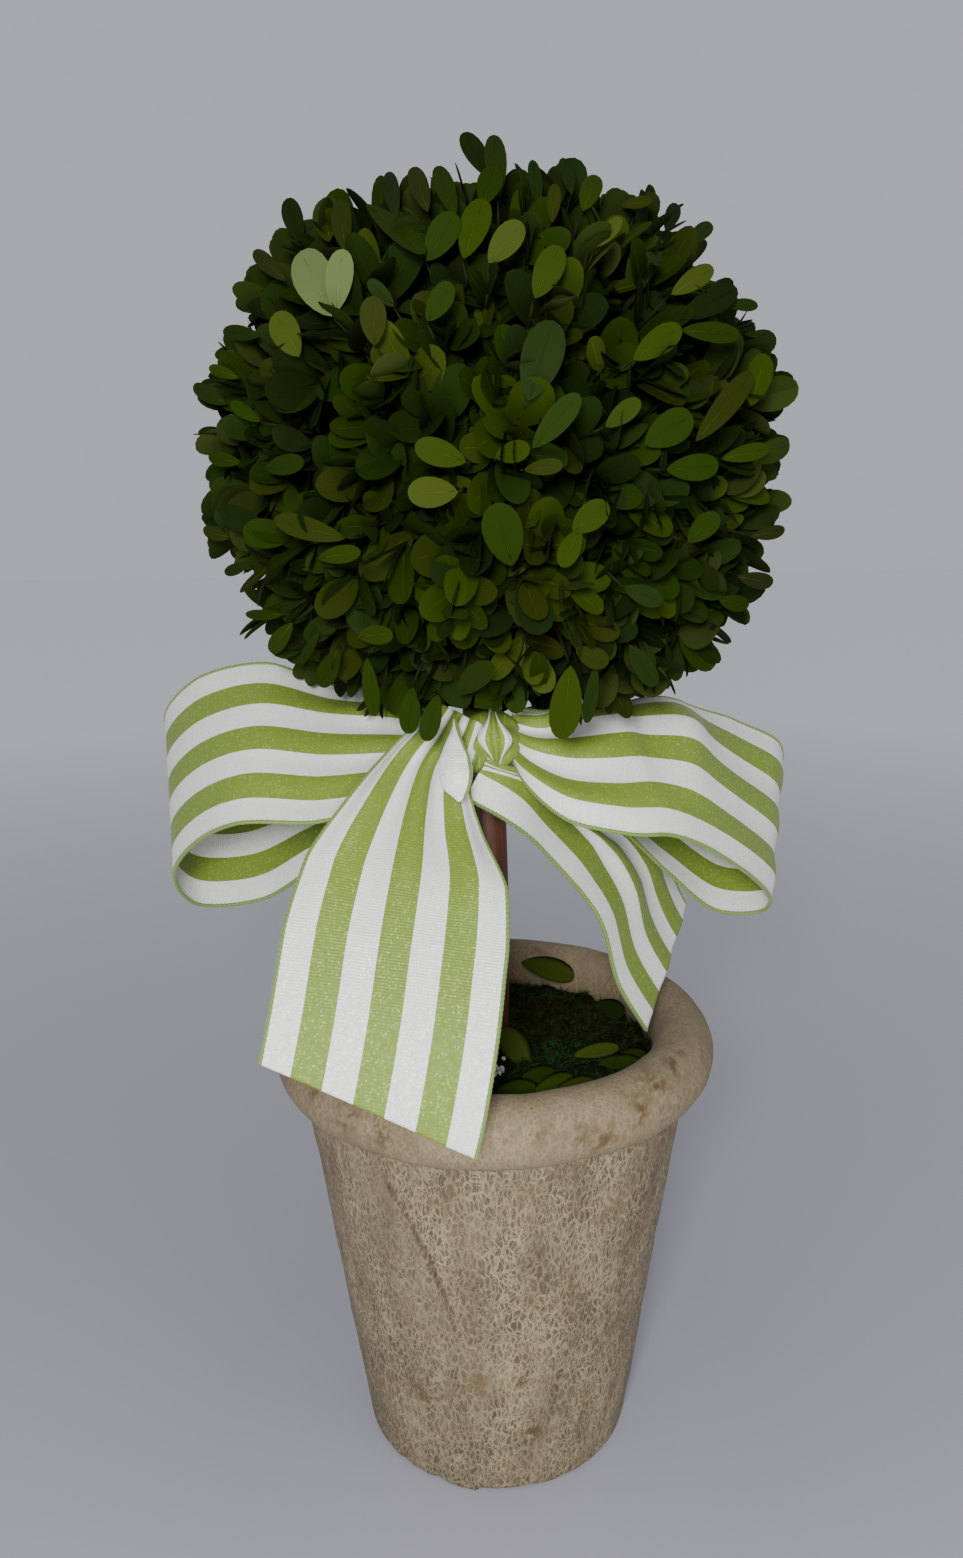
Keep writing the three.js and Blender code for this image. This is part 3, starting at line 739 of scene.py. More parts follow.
TAIL_RIGHT = [
    (-5, -30, 243, 7, 1, 12, 0),
    (8, -24, 233.5, 8, 7, 9, 0),
    (16, -19, 226, 8, 14, 7, 0),
    (25, -14, 219, 12, 20, 9, 0),
    (33, -9, 214.5, 18, 28, 12, 0),
    (40, -1, 209, 22, 41, 14, 0),
    (48, 3, 198, 26, 50, 12, 0),
    (55, 6, 178, 28, 54, 15, 0),
    (66, 7, 159, 28, 54, 15, 0),
]
ROUTES = (LOOP_LEFT, LOOP_RIGHT, TAIL_LEFT, TAIL_RIGHT)
print("rows in each route:", [len(route) for route in ROUTES])

# %% [markdown]
# A smooth curve has to pass through every row's point. It is a chain of cubics, spaced by the
# square root of the distance between the points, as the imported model's is.


# %% Ribbon: smooth route
def smooth_route(points, share):
    """The spline through points at shares 0 to 1. Between p1 and p2 it is the cubic whose end
    slopes come from the two neighbours, weighted by knot gaps of distance ** 0.5."""
    last = len(points) - 1
    longer = np.vstack([2 * points[0] - points[1], points, 2 * points[-1] - points[-2]])
    place = np.clip(share, 0, 1) * last
    row = np.minimum(place.astype(int), last - 1)
    t = (place - row)[..., None]
    p0, p1, p2, p3 = (longer[row + k] for k in range(4))

    def gap(a, b):
        return np.maximum(np.sqrt(np.linalg.norm(b - a, axis=-1, keepdims=True)), 1e-4)

    g0, g1, g2 = gap(p0, p1), gap(p1, p2), gap(p2, p3)
    s1 = ((p1 - p0) / g0 - (p2 - p0) / (g0 + g1) + (p2 - p1) / g1) * g1
    s2 = ((p2 - p1) / g1 - (p3 - p1) / (g1 + g2) + (p3 - p2) / g2) * g1
    return p1 + s1 * t + (3 * p2 - 3 * p1 - 2 * s1 - s2) * t**2 + (2 * p1 - 2 * p2 + s1 + s2) * t**3


half_way_down = smooth_route(np.array(TAIL_LEFT)[:, :3], np.array([0.5]))[0]
print("half-way down the left tail:", half_way_down.round(1))

# %% [markdown]
# Where the ribbon is drawn together its width doesn't shrink: it folds. A line across it
# then swings from side to side by an angle w * sin(2 * pi * folds * v), and advances by the
# mean cosine of that angle. So the gathered width gives w, read back from a table. Only a
# part of that swing is drawn, and creases too fine to show take the rest of the width.

# %% Ribbon: how folds take up width
RIBBON_ALONG, RIBBON_ACROSS = 200, 63
RIBBON_SLICES = 48
CURL_POWER = 1.2
SWING_LIMIT = 2.0
LEAST_ROOM = 0.06
wave = np.sin(np.linspace(0, 2 * np.pi, 400, endpoint=False))
swings = np.linspace(0, SWING_LIMIT, 200)
advances = np.cos(swings[:, None] * wave[None]).mean(axis=1)
print("tightest gather from folds alone:", round(advances[-1], 3))

# %% [markdown]
# Each line across the ribbon is summed up from its middle in 48 small steps outwards. A step
# goes along the ribbon's own way across, turned by the curl and by the swing of the folds.


# %% Ribbon: gathered surface
def unit(vectors):
    """Vectors divided by their length."""
    return vectors / np.maximum(np.linalg.norm(vectors, axis=-1, keepdims=True), 1e-9)


def square_to(vectors, way):
    """The part of the vectors at right angles to a unit way, made one long."""
    return unit(vectors - (vectors * way).sum(1, keepdims=True) * way)


def ribbon_surface(rows, cut=(1, 1), folds=4, flat_share=0.0, drawn=0.55, ripple=None):
    """Grid of points of a ribbon. From the middle line M, a point at edge share v lies at
    M + the sum from 0.5 to v of (cos(a) * across + sin(a) * normal) * width, where a is the
    curl of the upper half plus the swing of the folds, which start at flat_share, or at half
    of it by the knot. A ribbon with a flat part is moved so that its lower edge lies where the
    route has it. Of the swing only the share "drawn" is used. A ripple (place, width,
    height) lifts the upper part by height * x * exp(0.5 - x * x)."""
    rows = np.array(rows, float)
    along, edge = np.meshgrid(
        np.linspace(0, 1, RIBBON_ALONG), np.linspace(0, 1, RIBBON_ACROSS), indexing="ij"
    )
    share = along * (cut[0] + (cut[1] - cut[0]) * edge)
    middle = smooth_route(rows[:, :3], share)
    ahead = smooth_route(rows[:, :3], share + 0.005) - smooth_route(rows[:, :3], share - 0.005)
    across = smooth_route(rows[:, 3:6], share)
    gathered = np.linalg.norm(across, axis=-1) / RIBBON_WIDTH
    across = unit(across)
    normal = unit(np.cross(ahead, across))
    curl = np.radians(np.interp(share * (len(rows) - 1), np.arange(len(rows)), rows[:, 6]))
    flat = flat_share * np.clip(0.5 + 2 * share, 0, 1)
    room = np.clip((gathered - flat) / (1 - flat), LEAST_ROOM, 1)
    swing = drawn * np.interp(np.maximum(room, advances[-1]), advances[::-1], swings[::-1])
    squeeze = room / np.interp(swing, swings, advances)
    step = (edge - 0.5) / RIBBON_SLICES
    offset = np.zeros_like(middle)
    for k in range(RIBBON_SLICES):
        v = 0.5 + step * (k + 0.5)
        folded = np.clip((v - flat) / (1 - flat), 0, 1)
        angle = curl * np.maximum(0, 2 * v - 1) ** CURL_POWER
        angle = angle + swing * np.sin(2 * np.pi * folds * folded)
        turned_way = np.cos(angle)[..., None] * across + np.sin(angle)[..., None] * normal
        narrow = 1 + (squeeze - 1) * np.clip(30 * folded if flat_share else 1, 0, 1)
        offset += turned_way * (step * RIBBON_WIDTH * narrow)[..., None]
    if flat_share:
        low = (across * gathered[..., None])[:, :1] * RIBBON_WIDTH
        middle = middle - 0.5 * low - offset[:, :1]
    if ripple:
        at, wide, high = ripple
        x = (share - at) / wide
        lift = high * x * np.exp(0.5 - x * x) * np.clip(2 * edge - 0.4, 0, 1)
        middle = middle + lift[..., None] * normal
    length = np.linalg.norm(np.diff(smooth_route(rows[:, :3], along[:, 0]), axis=0), axis=1).sum()
    uv = np.stack([edge, share * length / RIBBON_WIDTH], axis=-1)
    return middle + offset, uv, length


# %% [markdown]
# The surface becomes a closed cloth by giving it two faces 0.5 mm apart. The two faces meet in
# one line of points at each cut end.

# %% Ribbon: cloth
CLOTH_HALF = 0.25


def sides_of(grid):
    """Unit normals of a grid surface: along x across, by differences between neighbours."""
    return unit(np.cross(np.gradient(grid, axis=0), np.gradient(grid, axis=1)))


def cloth(grid, uv):
    """A closed thin cloth: columns run over the front face and back over the rear one."""
    normal = sides_of(grid) * CLOTH_HALF
    both = np.concatenate([grid + normal, (grid - normal)[:, ::-1]], axis=1)
    ends = [np.concatenate([grid[k], grid[k, ::-1]])[None] for k in (0, -1)]
    both = np.concatenate([ends[0], both, ends[1]])
    uv_both = np.concatenate([uv, uv[:, ::-1]], axis=1)
    uv_both = np.concatenate([uv_both[:1], uv_both, uv_both[-1:]])
    rows, columns = both.shape[:2]
    number = np.arange(rows * columns).reshape(rows, columns)
    half = columns // 2
    for row in (0, -1):
        number[row, half:] = number[row, :half][::-1]
    faces, used = faces_over(number)
    return both.reshape(-1, 3)[used], faces, uv_both.reshape(-1, 2)[used]


# %% [markdown]
# A wire is sewn into each edge. Its tube follows the first or the last line of the surface and
# swells at every stitch of the overlocking.

# %% Ribbon: wired edges
WIRE_RADIUS, WIRE_INSET = 0.62, 0.3
STITCH = 1.5


def tube(line, side, up, radius, sides=8):
    """A closed tube round a line: line + radius * (cos(t) * side + sin(t) * up)."""
    circle = np.einsum("ck,lki->lci", circle_of(sides), np.stack([side, up], axis=1))
    grid = line[:, None] + np.asarray(radius)[:, None, None] * circle
    ends = [np.repeat(line[k][None, None], sides, axis=1) for k in (0, -1)]
    points, faces, _ = skin(np.concatenate([ends[0], grid, ends[1]]))
    return points, outward(points, faces)


def wired_edge(grid, column):
    """Tube along one edge of a ribbon, swelling at each stitch: r * (0.9 + 0.25 * |sin|)."""
    coarse = grid[:, column]
    inward = grid[:, 1] if column == 0 else grid[:, -2]
    length = np.concatenate([[0], np.cumsum(np.linalg.norm(np.diff(coarse, axis=0), axis=1))])
    fine = np.linspace(0, length[-1], int(length[-1] / STITCH * 5))
    parts = [coarse, unit(coarse - inward), sides_of(grid)[:, column]]
    line, side, up = (
        np.stack([np.interp(fine, length, part[:, k]) for k in range(3)], axis=1) for part in parts
    )
    side = unit(side)
    up = square_to(up, side)
    radius = WIRE_RADIUS * (0.9 + 0.25 * np.abs(np.sin(np.pi * fine / STITCH)))
    return tube(line - side * WIRE_INSET, side, up, radius, 6)


# %% [markdown]
# The cloth is a woven metallic ribbon: silvery white and apple green warps with a fine cross
# rib. Its UV map runs 0 to 1 across, and along in the same unit, so seven times U gives the
# stripes. Real threads are 0.25 mm apart, which is finer than a pixel, so the rib is drawn at
# 0.7 mm and the glint of single metallic threads as grains of 0.45 mm. The palest grains are
# painted glints in the base colour, and they are also made a little metallic.

# %% Woven ribbon
STRIPES = 7
RIB_SIZE, GLINT_SIZE, SHIMMER_SIZE = 0.7, 0.45, 1.6
ribbon_cloth, tree, shader = new_material(
    "woven_metallic_ribbon", Specular_IOR_Level=0.25, Sheen_Weight=0.06, Sheen_Roughness=0.4
)
place = add(tree, "ShaderNodeTexCoord").outputs["UV"]
axes = add(tree, "ShaderNodeSeparateXYZ", {0: place})
stripe = maths(tree, "FLOOR", maths(tree, "MULTIPLY", axes.outputs["X"], STRIPES))
stripe = maths(tree, "MODULO", stripe, 2)
grain_cell = GLINT_SIZE / RIBBON_WIDTH
inputs = {0: place, 1: (grain_cell, grain_cell, 1)}
snapped = add(tree, "ShaderNodeVectorMath", inputs, operation="SNAP").outputs[0]
glint = add(tree, "ShaderNodeTexWhiteNoise", {"Vector": snapped}, noise_dimensions="2D")
glint = glint.outputs["Value"]
inputs = {"Vector": place, "Scale": RIBBON_WIDTH / SHIMMER_SIZE, "Detail": 3}
shimmer = add(tree, "ShaderNodeTexNoise", inputs).outputs[0]
thread = maths(tree, "MULTIPLY", axes.outputs["Y"], 2 * math.pi * RIBBON_WIDTH / RIB_SIZE)
thread = maths(tree, "SINE", thread)
tone = mixed(tree, stripe, "#d6d6d0", "#6c7f2e")
dark_share = ranged(tree, glint, 0, 0.6, 0.22, 0)
tone = mixed(tree, dark_share, tone, mixed(tree, stripe, "#8f908b", "#4a6420"))
# Painted glints: the palest grains are mixed towards near white and pale green
painted_glint_share = ranged(tree, glint, 0.86, 1, 0, 0.45)
tone = mixed(tree, painted_glint_share, tone, mixed(tree, stripe, "#f0f0ea", "#aabf68"))
tree.links.new(ranged(tree, shimmer, 0.35, 0.65, 0.62, 0.42), shader.inputs["Roughness"])
tree.links.new(ranged(tree, glint, 0.7, 1, 0, 0.2), shader.inputs["Metallic"])
coat(tree, shader, tone, maths(tree, "ADD", thread, glint), 0.25, 0.12)
edge_thread = plain_material("overlock_thread", "#5f7a2c", Roughness=0.6, Sheen_Weight=0.2)
print("ribbon nodes:", len(tree.nodes))

# %% [markdown]
# Both loops and both tails are made in the same way, each along its own route. The tails are
# cut on the slant: a cut gives the share of the route that each of the two edges reaches.


# %% Loops and tails
def ribbon_piece(name, points, faces, uv, *nodes):
    """A piece of the woven ribbon that stands for the CAD nodes it is given."""
    made = make_piece(name, points, outward(points, faces), [ribbon_cloth], uv)
    dress(made, "striped_ribbon", *nodes)


STRIPS = {
    "bow_loop_left": dict(rows=LOOP_LEFT, folds=4, drawn=0.3),
    "bow_loop_right": dict(rows=LOOP_RIGHT, folds=3, drawn=0.4, ripple=(0.34, 0.045, 6.5)),
    "bow_tail_left": dict(rows=TAIL_LEFT, cut=(0.825, 0.907), folds=3),
    "bow_tail_right": dict(
        rows=TAIL_RIGHT, cut=(0.98, 0.91), folds=2, flat_share=2 / 7, drawn=0.45
    ),
}
wires, ribbon_points = [], []
for node, plan in STRIPS.items():
    grid, uv, length = ribbon_surface(**plan)
    ribbon_points.append(grid[::4, ::4].reshape(-1, 3))
    ribbon_piece("ribbon_" + node[4:], *cloth(grid, uv), node)
    wires += [wired_edge(grid, 0), wired_edge(grid, -1)]
    print(f"{node}: {length:.0f} mm along its middle")
wire = make_piece("ribbon_wired_edges", *joined(wires), [edge_thread])
dress(wire, "striped_ribbon")

# %% [markdown]
# The knot is a short turn of the same ribbon, drawn together over the front: one green stripe
# between two thin white ones, nearly a point at the bottom, over a gathered green lump that
# fills the space between the loops.

# %% Knot
KNOT_MIDDLE = np.array([-1.5, -18.5, 252])
KNOT_HALF = np.array([11, 10.5, 11])
BAND_FROM, BAND_TO = -0.62 * np.pi, 0.9 * np.pi


def knot_band():
    """A turn of ribbon, open behind: at angle t it lies on the ellipse (y, z) round the knot.
    It is widest half-way up and narrows to both ends, and its edges dip inwards."""
    turn = np.linspace(BAND_FROM, BAND_TO, 90)[:, None]
    side = np.linspace(-1, 1, 31)[None]
    rise = np.sin(turn)
    half = 0.5 + 4.6 * np.exp(-(((rise - 0.05) / 0.5) ** 2)) + 0 * side
    x = 1.1 - 0.9 * rise + half * side
    dip = 1 - 0.16 * side**2 + 0.03 * np.cos(9 * side)
    y = KNOT_MIDDLE[1] - (KNOT_HALF[1] + 2.2) * np.cos(turn) * dip
    z = KNOT_MIDDLE[2] + 2.5 + (KNOT_HALF[2] + 0.6) * rise * dip
    grid = np.stack([x, y, z], axis=-1)
    uv = np.stack([0.5 + 0.12 * side + 0 * turn, turn * 12 / RIBBON_WIDTH + 0 * side], axis=-1)
    return grid, uv


def ball_ways(rows, columns):
    """Unit ways all round from pole to pole, (sin p cos t, sin p sin t, cos p), with p and t."""
    polar = np.linspace(0, np.pi, rows)[:, None]
    turn = np.linspace(0, 2 * np.pi, columns, endpoint=False)[None]
    flat, tall = np.sin(polar), np.cos(polar) + 0 * turn
    return np.stack([flat * np.cos(turn), flat * np.sin(turn), tall], -1), polar, turn


def gathered_lump():
    """An ellipsoid whose poles lie left and right. Seven folds run slanting from pole to pole,
    radius * (1 + 0.07 * sin(7 * t + 2 * cos p) * sin p), and the UV keeps it within the green
    stripe."""
    ways, polar, turn = ball_ways(40, 90)
    fold = 1 + 0.07 * np.sin(7 * turn + 2 * np.cos(polar)) * np.sin(polar)
    uv = np.stack([0.5 + 0.07 * np.sin(turn) + 0 * polar, 0.3 * np.cos(polar) + 0 * turn], -1)
    return KNOT_MIDDLE + np.roll(ways, 1, axis=-1) * KNOT_HALF * fold[..., None], uv


ribbon_piece("ribbon_knot_band", *cloth(*knot_band()))
lump_grid, lump_uv = gathered_lump()
points, faces, used = skin(lump_grid)
ribbon_piece("ribbon_knot_gather", points, faces, lump_uv.reshape(-1, 2)[used], "bow_knot")

# %% [markdown]
# The left tail's right edge is tucked back at the knot and bulges out as a small white fold.
# It is a tube along a short route, flattened to about a third and dented by noise, and its
# own thin hem runs down the side.

# %% Edge fold
FOLD_ROUTE = np.array(
    [(-11, -31, 262), (-11.2, -35, 256.5), (-11.3, -38.5, 251)]
    + [(-11, -42, 245), (-9.5, -44, 239.5)]
)
FOLD_STEPS, FOLD_SIDES = 40, 32
FOLD_SIDE = (1.0, -0.3, 0.1)
FOLD_HALF, FOLD_FLATNESS, FOLD_DENT = 4.8, 0.36, 1.1
HEM_RADIUS = 0.5
share = np.linspace(0, 1, FOLD_STEPS)
fold_line = smooth_route(FOLD_ROUTE, share)
fold_side = np.tile([FOLD_SIDE], (FOLD_STEPS, 1))
fold_up = unit(np.cross(fold_side, np.gradient(fold_line, axis=0)))
fold_radius = 0.2 + FOLD_HALF * np.sin(np.pi * share**1.6) ** 0.9
hem = tube(
    fold_line + 0.96 * fold_radius[:, None] * fold_side,
    fold_side,
    fold_up,
    np.full(FOLD_STEPS, HEM_RADIUS),
)
dress(make_piece("ribbon_fold_edge", *hem, [edge_thread]), "striped_ribbon")
points, faces = tube(fold_line, fold_side, FOLD_FLATNESS * fold_up, fold_radius, FOLD_SIDES)
points = points + FOLD_DENT * rough(points, 3.2, 61)[:, None] * (0.5, 1, 0.3)
across_fold = points[:, 0] - FOLD_ROUTE[0, 0]
fold_uv = np.stack([0.93 + 0.006 * across_fold, points[:, 2] / RIBBON_WIDTH], axis=1)
ribbon_piece("ribbon_edge_fold", points, faces, fold_uv)

# %% [markdown]
# A box leaf is a small thick blade, widest past its middle, with a wedge at its root and a
# round tip. Its two halves rise from the midrib and it bends along its length. The blade is a
# closed lens of a few dozen faces, because thousands of them are needed.

# %% Leaf blade
LEAF_ROWS = np.array([0, 0.08, 0.2, 0.34, 0.49, 0.64, 0.78, 0.9, 0.97, 1])
LEAF_ACROSS = np.array([-1, -0.5, 0, 0.5, 1])
LEAF_THICK = 0.35
MIDRIB_ROWS = np.array([0.02, 0.25, 0.5, 0.72, 0.9])
MIDRIB_HALF, MIDRIB_RISE = 0.28, 0.16


def half_width(t):
    """Half the blade's width at t along it, 0.5 at its widest: t ** 0.75 * (1 - t) ** 0.5
    over its own largest value, which is at t = 0.6."""
    return 0.5 * t**0.75 * (1 - t) ** 0.5 / (0.6**0.75 * 0.4**0.5)


def blade_point(t, c, size):
    """Place on the upper face at t along and c across, for leaves of (length, width, cup,
    bend, twist): the halves rise by cup * |y|, and the blade sinks by bend * t * t."""
    length, width, cup, bend, twist = (size[:, k, None, None] for k in range(5))
    x = t * length + 0 * c
    y = c * half_width(t) * width
    z = cup * np.abs(y) + 0.05 * width * np.abs(c) * (1 - np.abs(c)) * np.sin(np.pi * t)
    z = z - bend * length * t * t + twist * y * t
    return np.stack([x + 0 * z, y + 0 * z, z], axis=-1)


def skins(grids):
    """Many grids of one kind: their points, shaped (grids, points, 3), and the faces of one."""
    _, faces, used = skin(grids[0])
    points = grids.reshape(len(grids), -1, 3)[:, used]
    return points, outward(points[0], faces)


def leaf_blades(size):
    """Unit leaves and the faces of one: a ring of five points on top and one under the midrib,
    carried along the leaf between two poles."""
    t = LEAF_ROWS[None, :, None]
    top = blade_point(t, LEAF_ACROSS[None, None], size)
    under = blade_point(t, np.zeros((1, 1, 1)), size)
    under[..., 2] -= LEAF_THICK * np.sin(np.pi * np.clip(t, 0, 1)) ** 0.5
    return skins(np.concatenate([top, under], axis=2))


# %% [markdown]
# The two sides of a leaf have different colours and meet in a sharp rim, so the faces that
# look down get the second material. The rim's edges are marked sharp, or the shading would
# run over them. A midrib is a thin ridge of its own.


# %% Leaf sides and midribs
def two_sides(points, faces):
    """Which faces of a leaf look down, and a table of the point pairs that join both sides."""
    first, second, third = (points[faces[:, k]] for k in range(3))
    below = np.cross(second - first, third - first)[:, 2] < 0
    met = np.zeros((2, len(points), len(points)), bool)
    for a, b in itertools.permutations(range(3), 2):
        met[below.astype(int), faces[:, a], faces[:, b]] = True
    return below, met[0] & met[1]


def crease(piece, table):
    """Marks the rim of every leaf of a piece sharp, so that each side is shaded for itself."""
    ends = np.empty(2 * len(piece.data.edges), np.int32)
    piece.data.edges.foreach_get("vertices", ends)
    sharp = table[ends[::2] % len(table), ends[1::2] % len(table)]
    layer = piece.data.attributes.new("sharp_edge", "BOOLEAN", "EDGE")
    layer.data.foreach_set("value", sharp)


def midribs(size):
    """Thin ridges along the leaves' middles, three-sided and closed."""
    t = MIDRIB_ROWS[None, :, None]
    grid = np.repeat(blade_point(t, np.zeros((1, 1, 1)), size), 3, axis=2)
    half = MIDRIB_HALF * (1.1 - t[..., 0])
    grid[:, :, 0, 1] -= half
    grid[:, :, 2, 1] += half
    grid[:, :, 1, 2] += MIDRIB_RISE
    grid[:, :, (0, 2), 2] += 0.02
    return skins(grid)


# %% [markdown]
# Thousands of leaves are made at once: first as unit leaves, then turned and moved by one sum
# over their axes, and then joined with their faces counted on.


# %% Many leaves in one piece
def stood(points, root, frame_axes):
    """Unit leaves turned into place: root + x * way + y * side + z * up for each leaf."""
    return root[:, None] + np.einsum("kpi,kij->kpj", points, frame_axes)


def many(points, faces):
    """All leaves as one set of points and faces."""
    offsets = np.arange(len(points))[:, None, None] * points.shape[1]
    return points.reshape(-1, 3), (faces[None] + offsets).reshape(-1, 3)


def axes_of(way, up):
    """The three axes of each leaf: along it, across it and out of its upper side."""
    return np.stack([way, np.cross(up, way), up], axis=1)


_, example_faces = leaf_blades(np.array([[18, 9.5, 0.1, 0.1, 0]]))
print("one leaf:", len(example_faces), "faces")

# %% [markdown]
# The ball is grown by one rule. Its surface is a squarish ellipsoid: along a direction d it
# lies at (f ** 2.3 + h ** 2.3) ** (-1 / 2.3), where f and h are the flat and upright parts of
# d over the half sizes. Sprigs start evenly over it by the golden angle, lean a little, and
# carry pairs of leaves, each pair a quarter turn on from the last.

# %% Clipped ball: sprigs
BALL_MIDDLE = np.array([2, 0, 334])
BALL_RADIUS, BALL_HALF_HEIGHT, BALL_TOP_HALF_HEIGHT = 88, 78, 83
BALL_SQUARENESS = 2.3
SPRIGS = 540
PAIRS = 4
PAIR_STEP = 4.6
LEAF_LENGTH = 18
TIP_LIMIT = 1.09
LEAN = 0.14
SHORTEST, LONGEST = 13, 21
# The twig ends before its sprig's tip by this share of a leaf's length
TIP_LEAF_SHARE = 0.82


def reach(way):
    """Distance from the ball's middle to its surface along unit directions."""
    flat = np.hypot(way[..., 0], way[..., 1]) / BALL_RADIUS
    half = np.where(way[..., 2] > 0, BALL_TOP_HALF_HEIGHT, BALL_HALF_HEIGHT)
    tall = np.abs(way[..., 2]) / half
    return (flat**BALL_SQUARENESS + tall**BALL_SQUARENESS) ** (-1 / BALL_SQUARENESS)


rng = np.random.default_rng(5)
k = np.arange(SPRIGS)
z = 1 - 2 * (k + 0.5) / SPRIGS
turn = k * np.pi * (3 - 5**0.5) + rng.normal(0, 0.06, SPRIGS)
flat = np.sqrt(1 - z * z)
ways = np.stack([flat * np.cos(turn), flat * np.sin(turn), z], axis=1)
ways = unit(ways + rng.normal(0, 0.03, ways.shape))
tips = BALL_MIDDLE + ways * (reach(ways) * rng.uniform(0.94, 1.05, SPRIGS))[:, None]
axes = unit(ways + LEAN * rng.normal(0, 1, ways.shape))
leaf_size = np.clip(rng.normal(LEAF_LENGTH, 1.8, SPRIGS), SHORTEST, LONGEST)
ends = tips - axes * (TIP_LEAF_SHARE * leaf_size)[:, None]
print("sprigs:", SPRIGS)

# %% [markdown]
# Each sprig's leaves spread wider the further down the twig they sit. A leaf that would pass
# the clipped outline, or come too near the stem or the ribbon, is left off, as the packed
# model's rule says.

# %% Clipped ball: leaves on the sprigs
# Degrees between a leaf and its twig: the tip leaf, the first pair, more for each pair after
# it, and by chance
TIP_SPREAD = (2, 16)
PAIR_SPREAD, MORE_SPREAD, CHANCE_SPREAD = 25, 13, 9


def turned_about(vectors, axis, angle):
    """Vectors v turned about an axis k: v cos a + (k x v) sin a + k (k.v) (1 - cos a)."""
    cos, sin = np.cos(angle)[:, None], np.sin(angle)[:, None]
    along = (axis * vectors).sum(1, keepdims=True) * axis
    return vectors * cos + np.cross(axis, vectors) * sin + along * (1 - cos)


def sprig_leaves():
    """Root, way, upper side and length of every leaf, and the number of its sprig. Pair -1 is
    the one leaf at the tip of the twig."""
    first = unit(np.cross(axes, unit(np.array([[0.3, 0.5, 0.8]]))))
    first = turned_about(first, axes, rng.uniform(0, np.pi, SPRIGS))
    found = []
    for pair in range(-1, PAIRS):
        side = turned_about(first, axes, np.full(SPRIGS, max(pair, 0) * np.pi / 2))
        for sign in (1, -1) if pair >= 0 else (1,):
            middle = PAIR_SPREAD + MORE_SPREAD * pair
            spread = np.radians(np.clip(rng.normal(middle, CHANCE_SPREAD, SPRIGS), 4, 88))
            if pair < 0:
                spread = np.radians(rng.uniform(*TIP_SPREAD, SPRIGS))
            sideways = sign * side
            way = np.cos(spread)[:, None] * axes + np.sin(spread)[:, None] * sideways
            up = np.sin(spread)[:, None] * axes - np.cos(spread)[:, None] * sideways
            root = ends - axes * (1 + PAIR_STEP * max(pair, -0.2))
            length = leaf_size * (0.86 + 0.05 * pair) * rng.uniform(0.88, 1.1, SPRIGS)
            found.append((root, way, up, length, np.arange(SPRIGS)))
    return [np.concatenate([part[k] for part in found]) for k in range(5)]


root, way, up, length, sprig_number = sprig_leaves()
way = unit(way + rng.normal(0, 0.07, way.shape))
up = turned_about(square_to(up, way), way, rng.normal(0, 0.35, len(way)))
print("leaves before clipping:", len(root))

# %% [markdown]
# The shears cut a leaf at any place, so three points along each are tried: none may pass the
# outline by more than 9 %, lie within 12 mm of the stem's middle below the ball's own
# middle, hang before the knot, or come within 3.2 mm of the ribbon.

# %% Clipped ball: clipping
STEM_CLEAR, BOW_CLEAR = 12, 3.2
# Only points below this height can be near the ribbon. They are measured in small groups.
NEAR_BOW_BELOW, GROUP_SIZE = 290, 200
KNOT_LEFT_RIGHT, KNOT_FRONT, KNOT_OVER = 17, -12, 263


def kept_leaves():
    """True for a leaf inside the clipped ball and clear of the stem and the ribbon."""
    keep = np.ones(len(root), bool)
    bow = np.concatenate(ribbon_points)
    for t in (0.4, 0.7, 1):
        probe = root + way * (length * t)[:, None]
        out_from = probe - BALL_MIDDLE
        far = np.linalg.norm(out_from, axis=1)
        keep &= far < TIP_LIMIT * reach(out_from / far[:, None])
        from_stem = np.linalg.norm(probe[:, :2] - stem_middle(probe[:, 2]), axis=1)
        keep &= (probe[:, 2] > BALL_MIDDLE[2]) | (from_stem > STEM_CLEAR)
        aside = np.abs(probe[:, 0] - BALL_MIDDLE[0]) >= KNOT_LEFT_RIGHT
        keep &= aside | (probe[:, 1] >= KNOT_FRONT) | (probe[:, 2] > KNOT_OVER)
        low = np.where(keep & (probe[:, 2] < NEAR_BOW_BELOW))[0]
        for group in np.array_split(low, max(1, len(low) // GROUP_SIZE)):
            gaps = np.linalg.norm(probe[group, None] - bow[None], axis=2).min(axis=1)
            keep[group[gaps < BOW_CLEAR]] = False
    return keep


keep = kept_leaves()
root, way, up, length, sprig_number = (
    part[keep] for part in (root, way, up, length, sprig_number)
)
size = np.stack(
    [
        length,
        length * rng.uniform(0.46, 0.62, len(length)),
        rng.uniform(0.02, 0.22, len(length)),
        rng.uniform(-0.05, 0.22, len(length)),
        rng.normal(0, 0.12, len(length)),
    ],
    axis=1,
)
leaf_axes = axes_of(way, up)
print("leaves kept:", len(root))
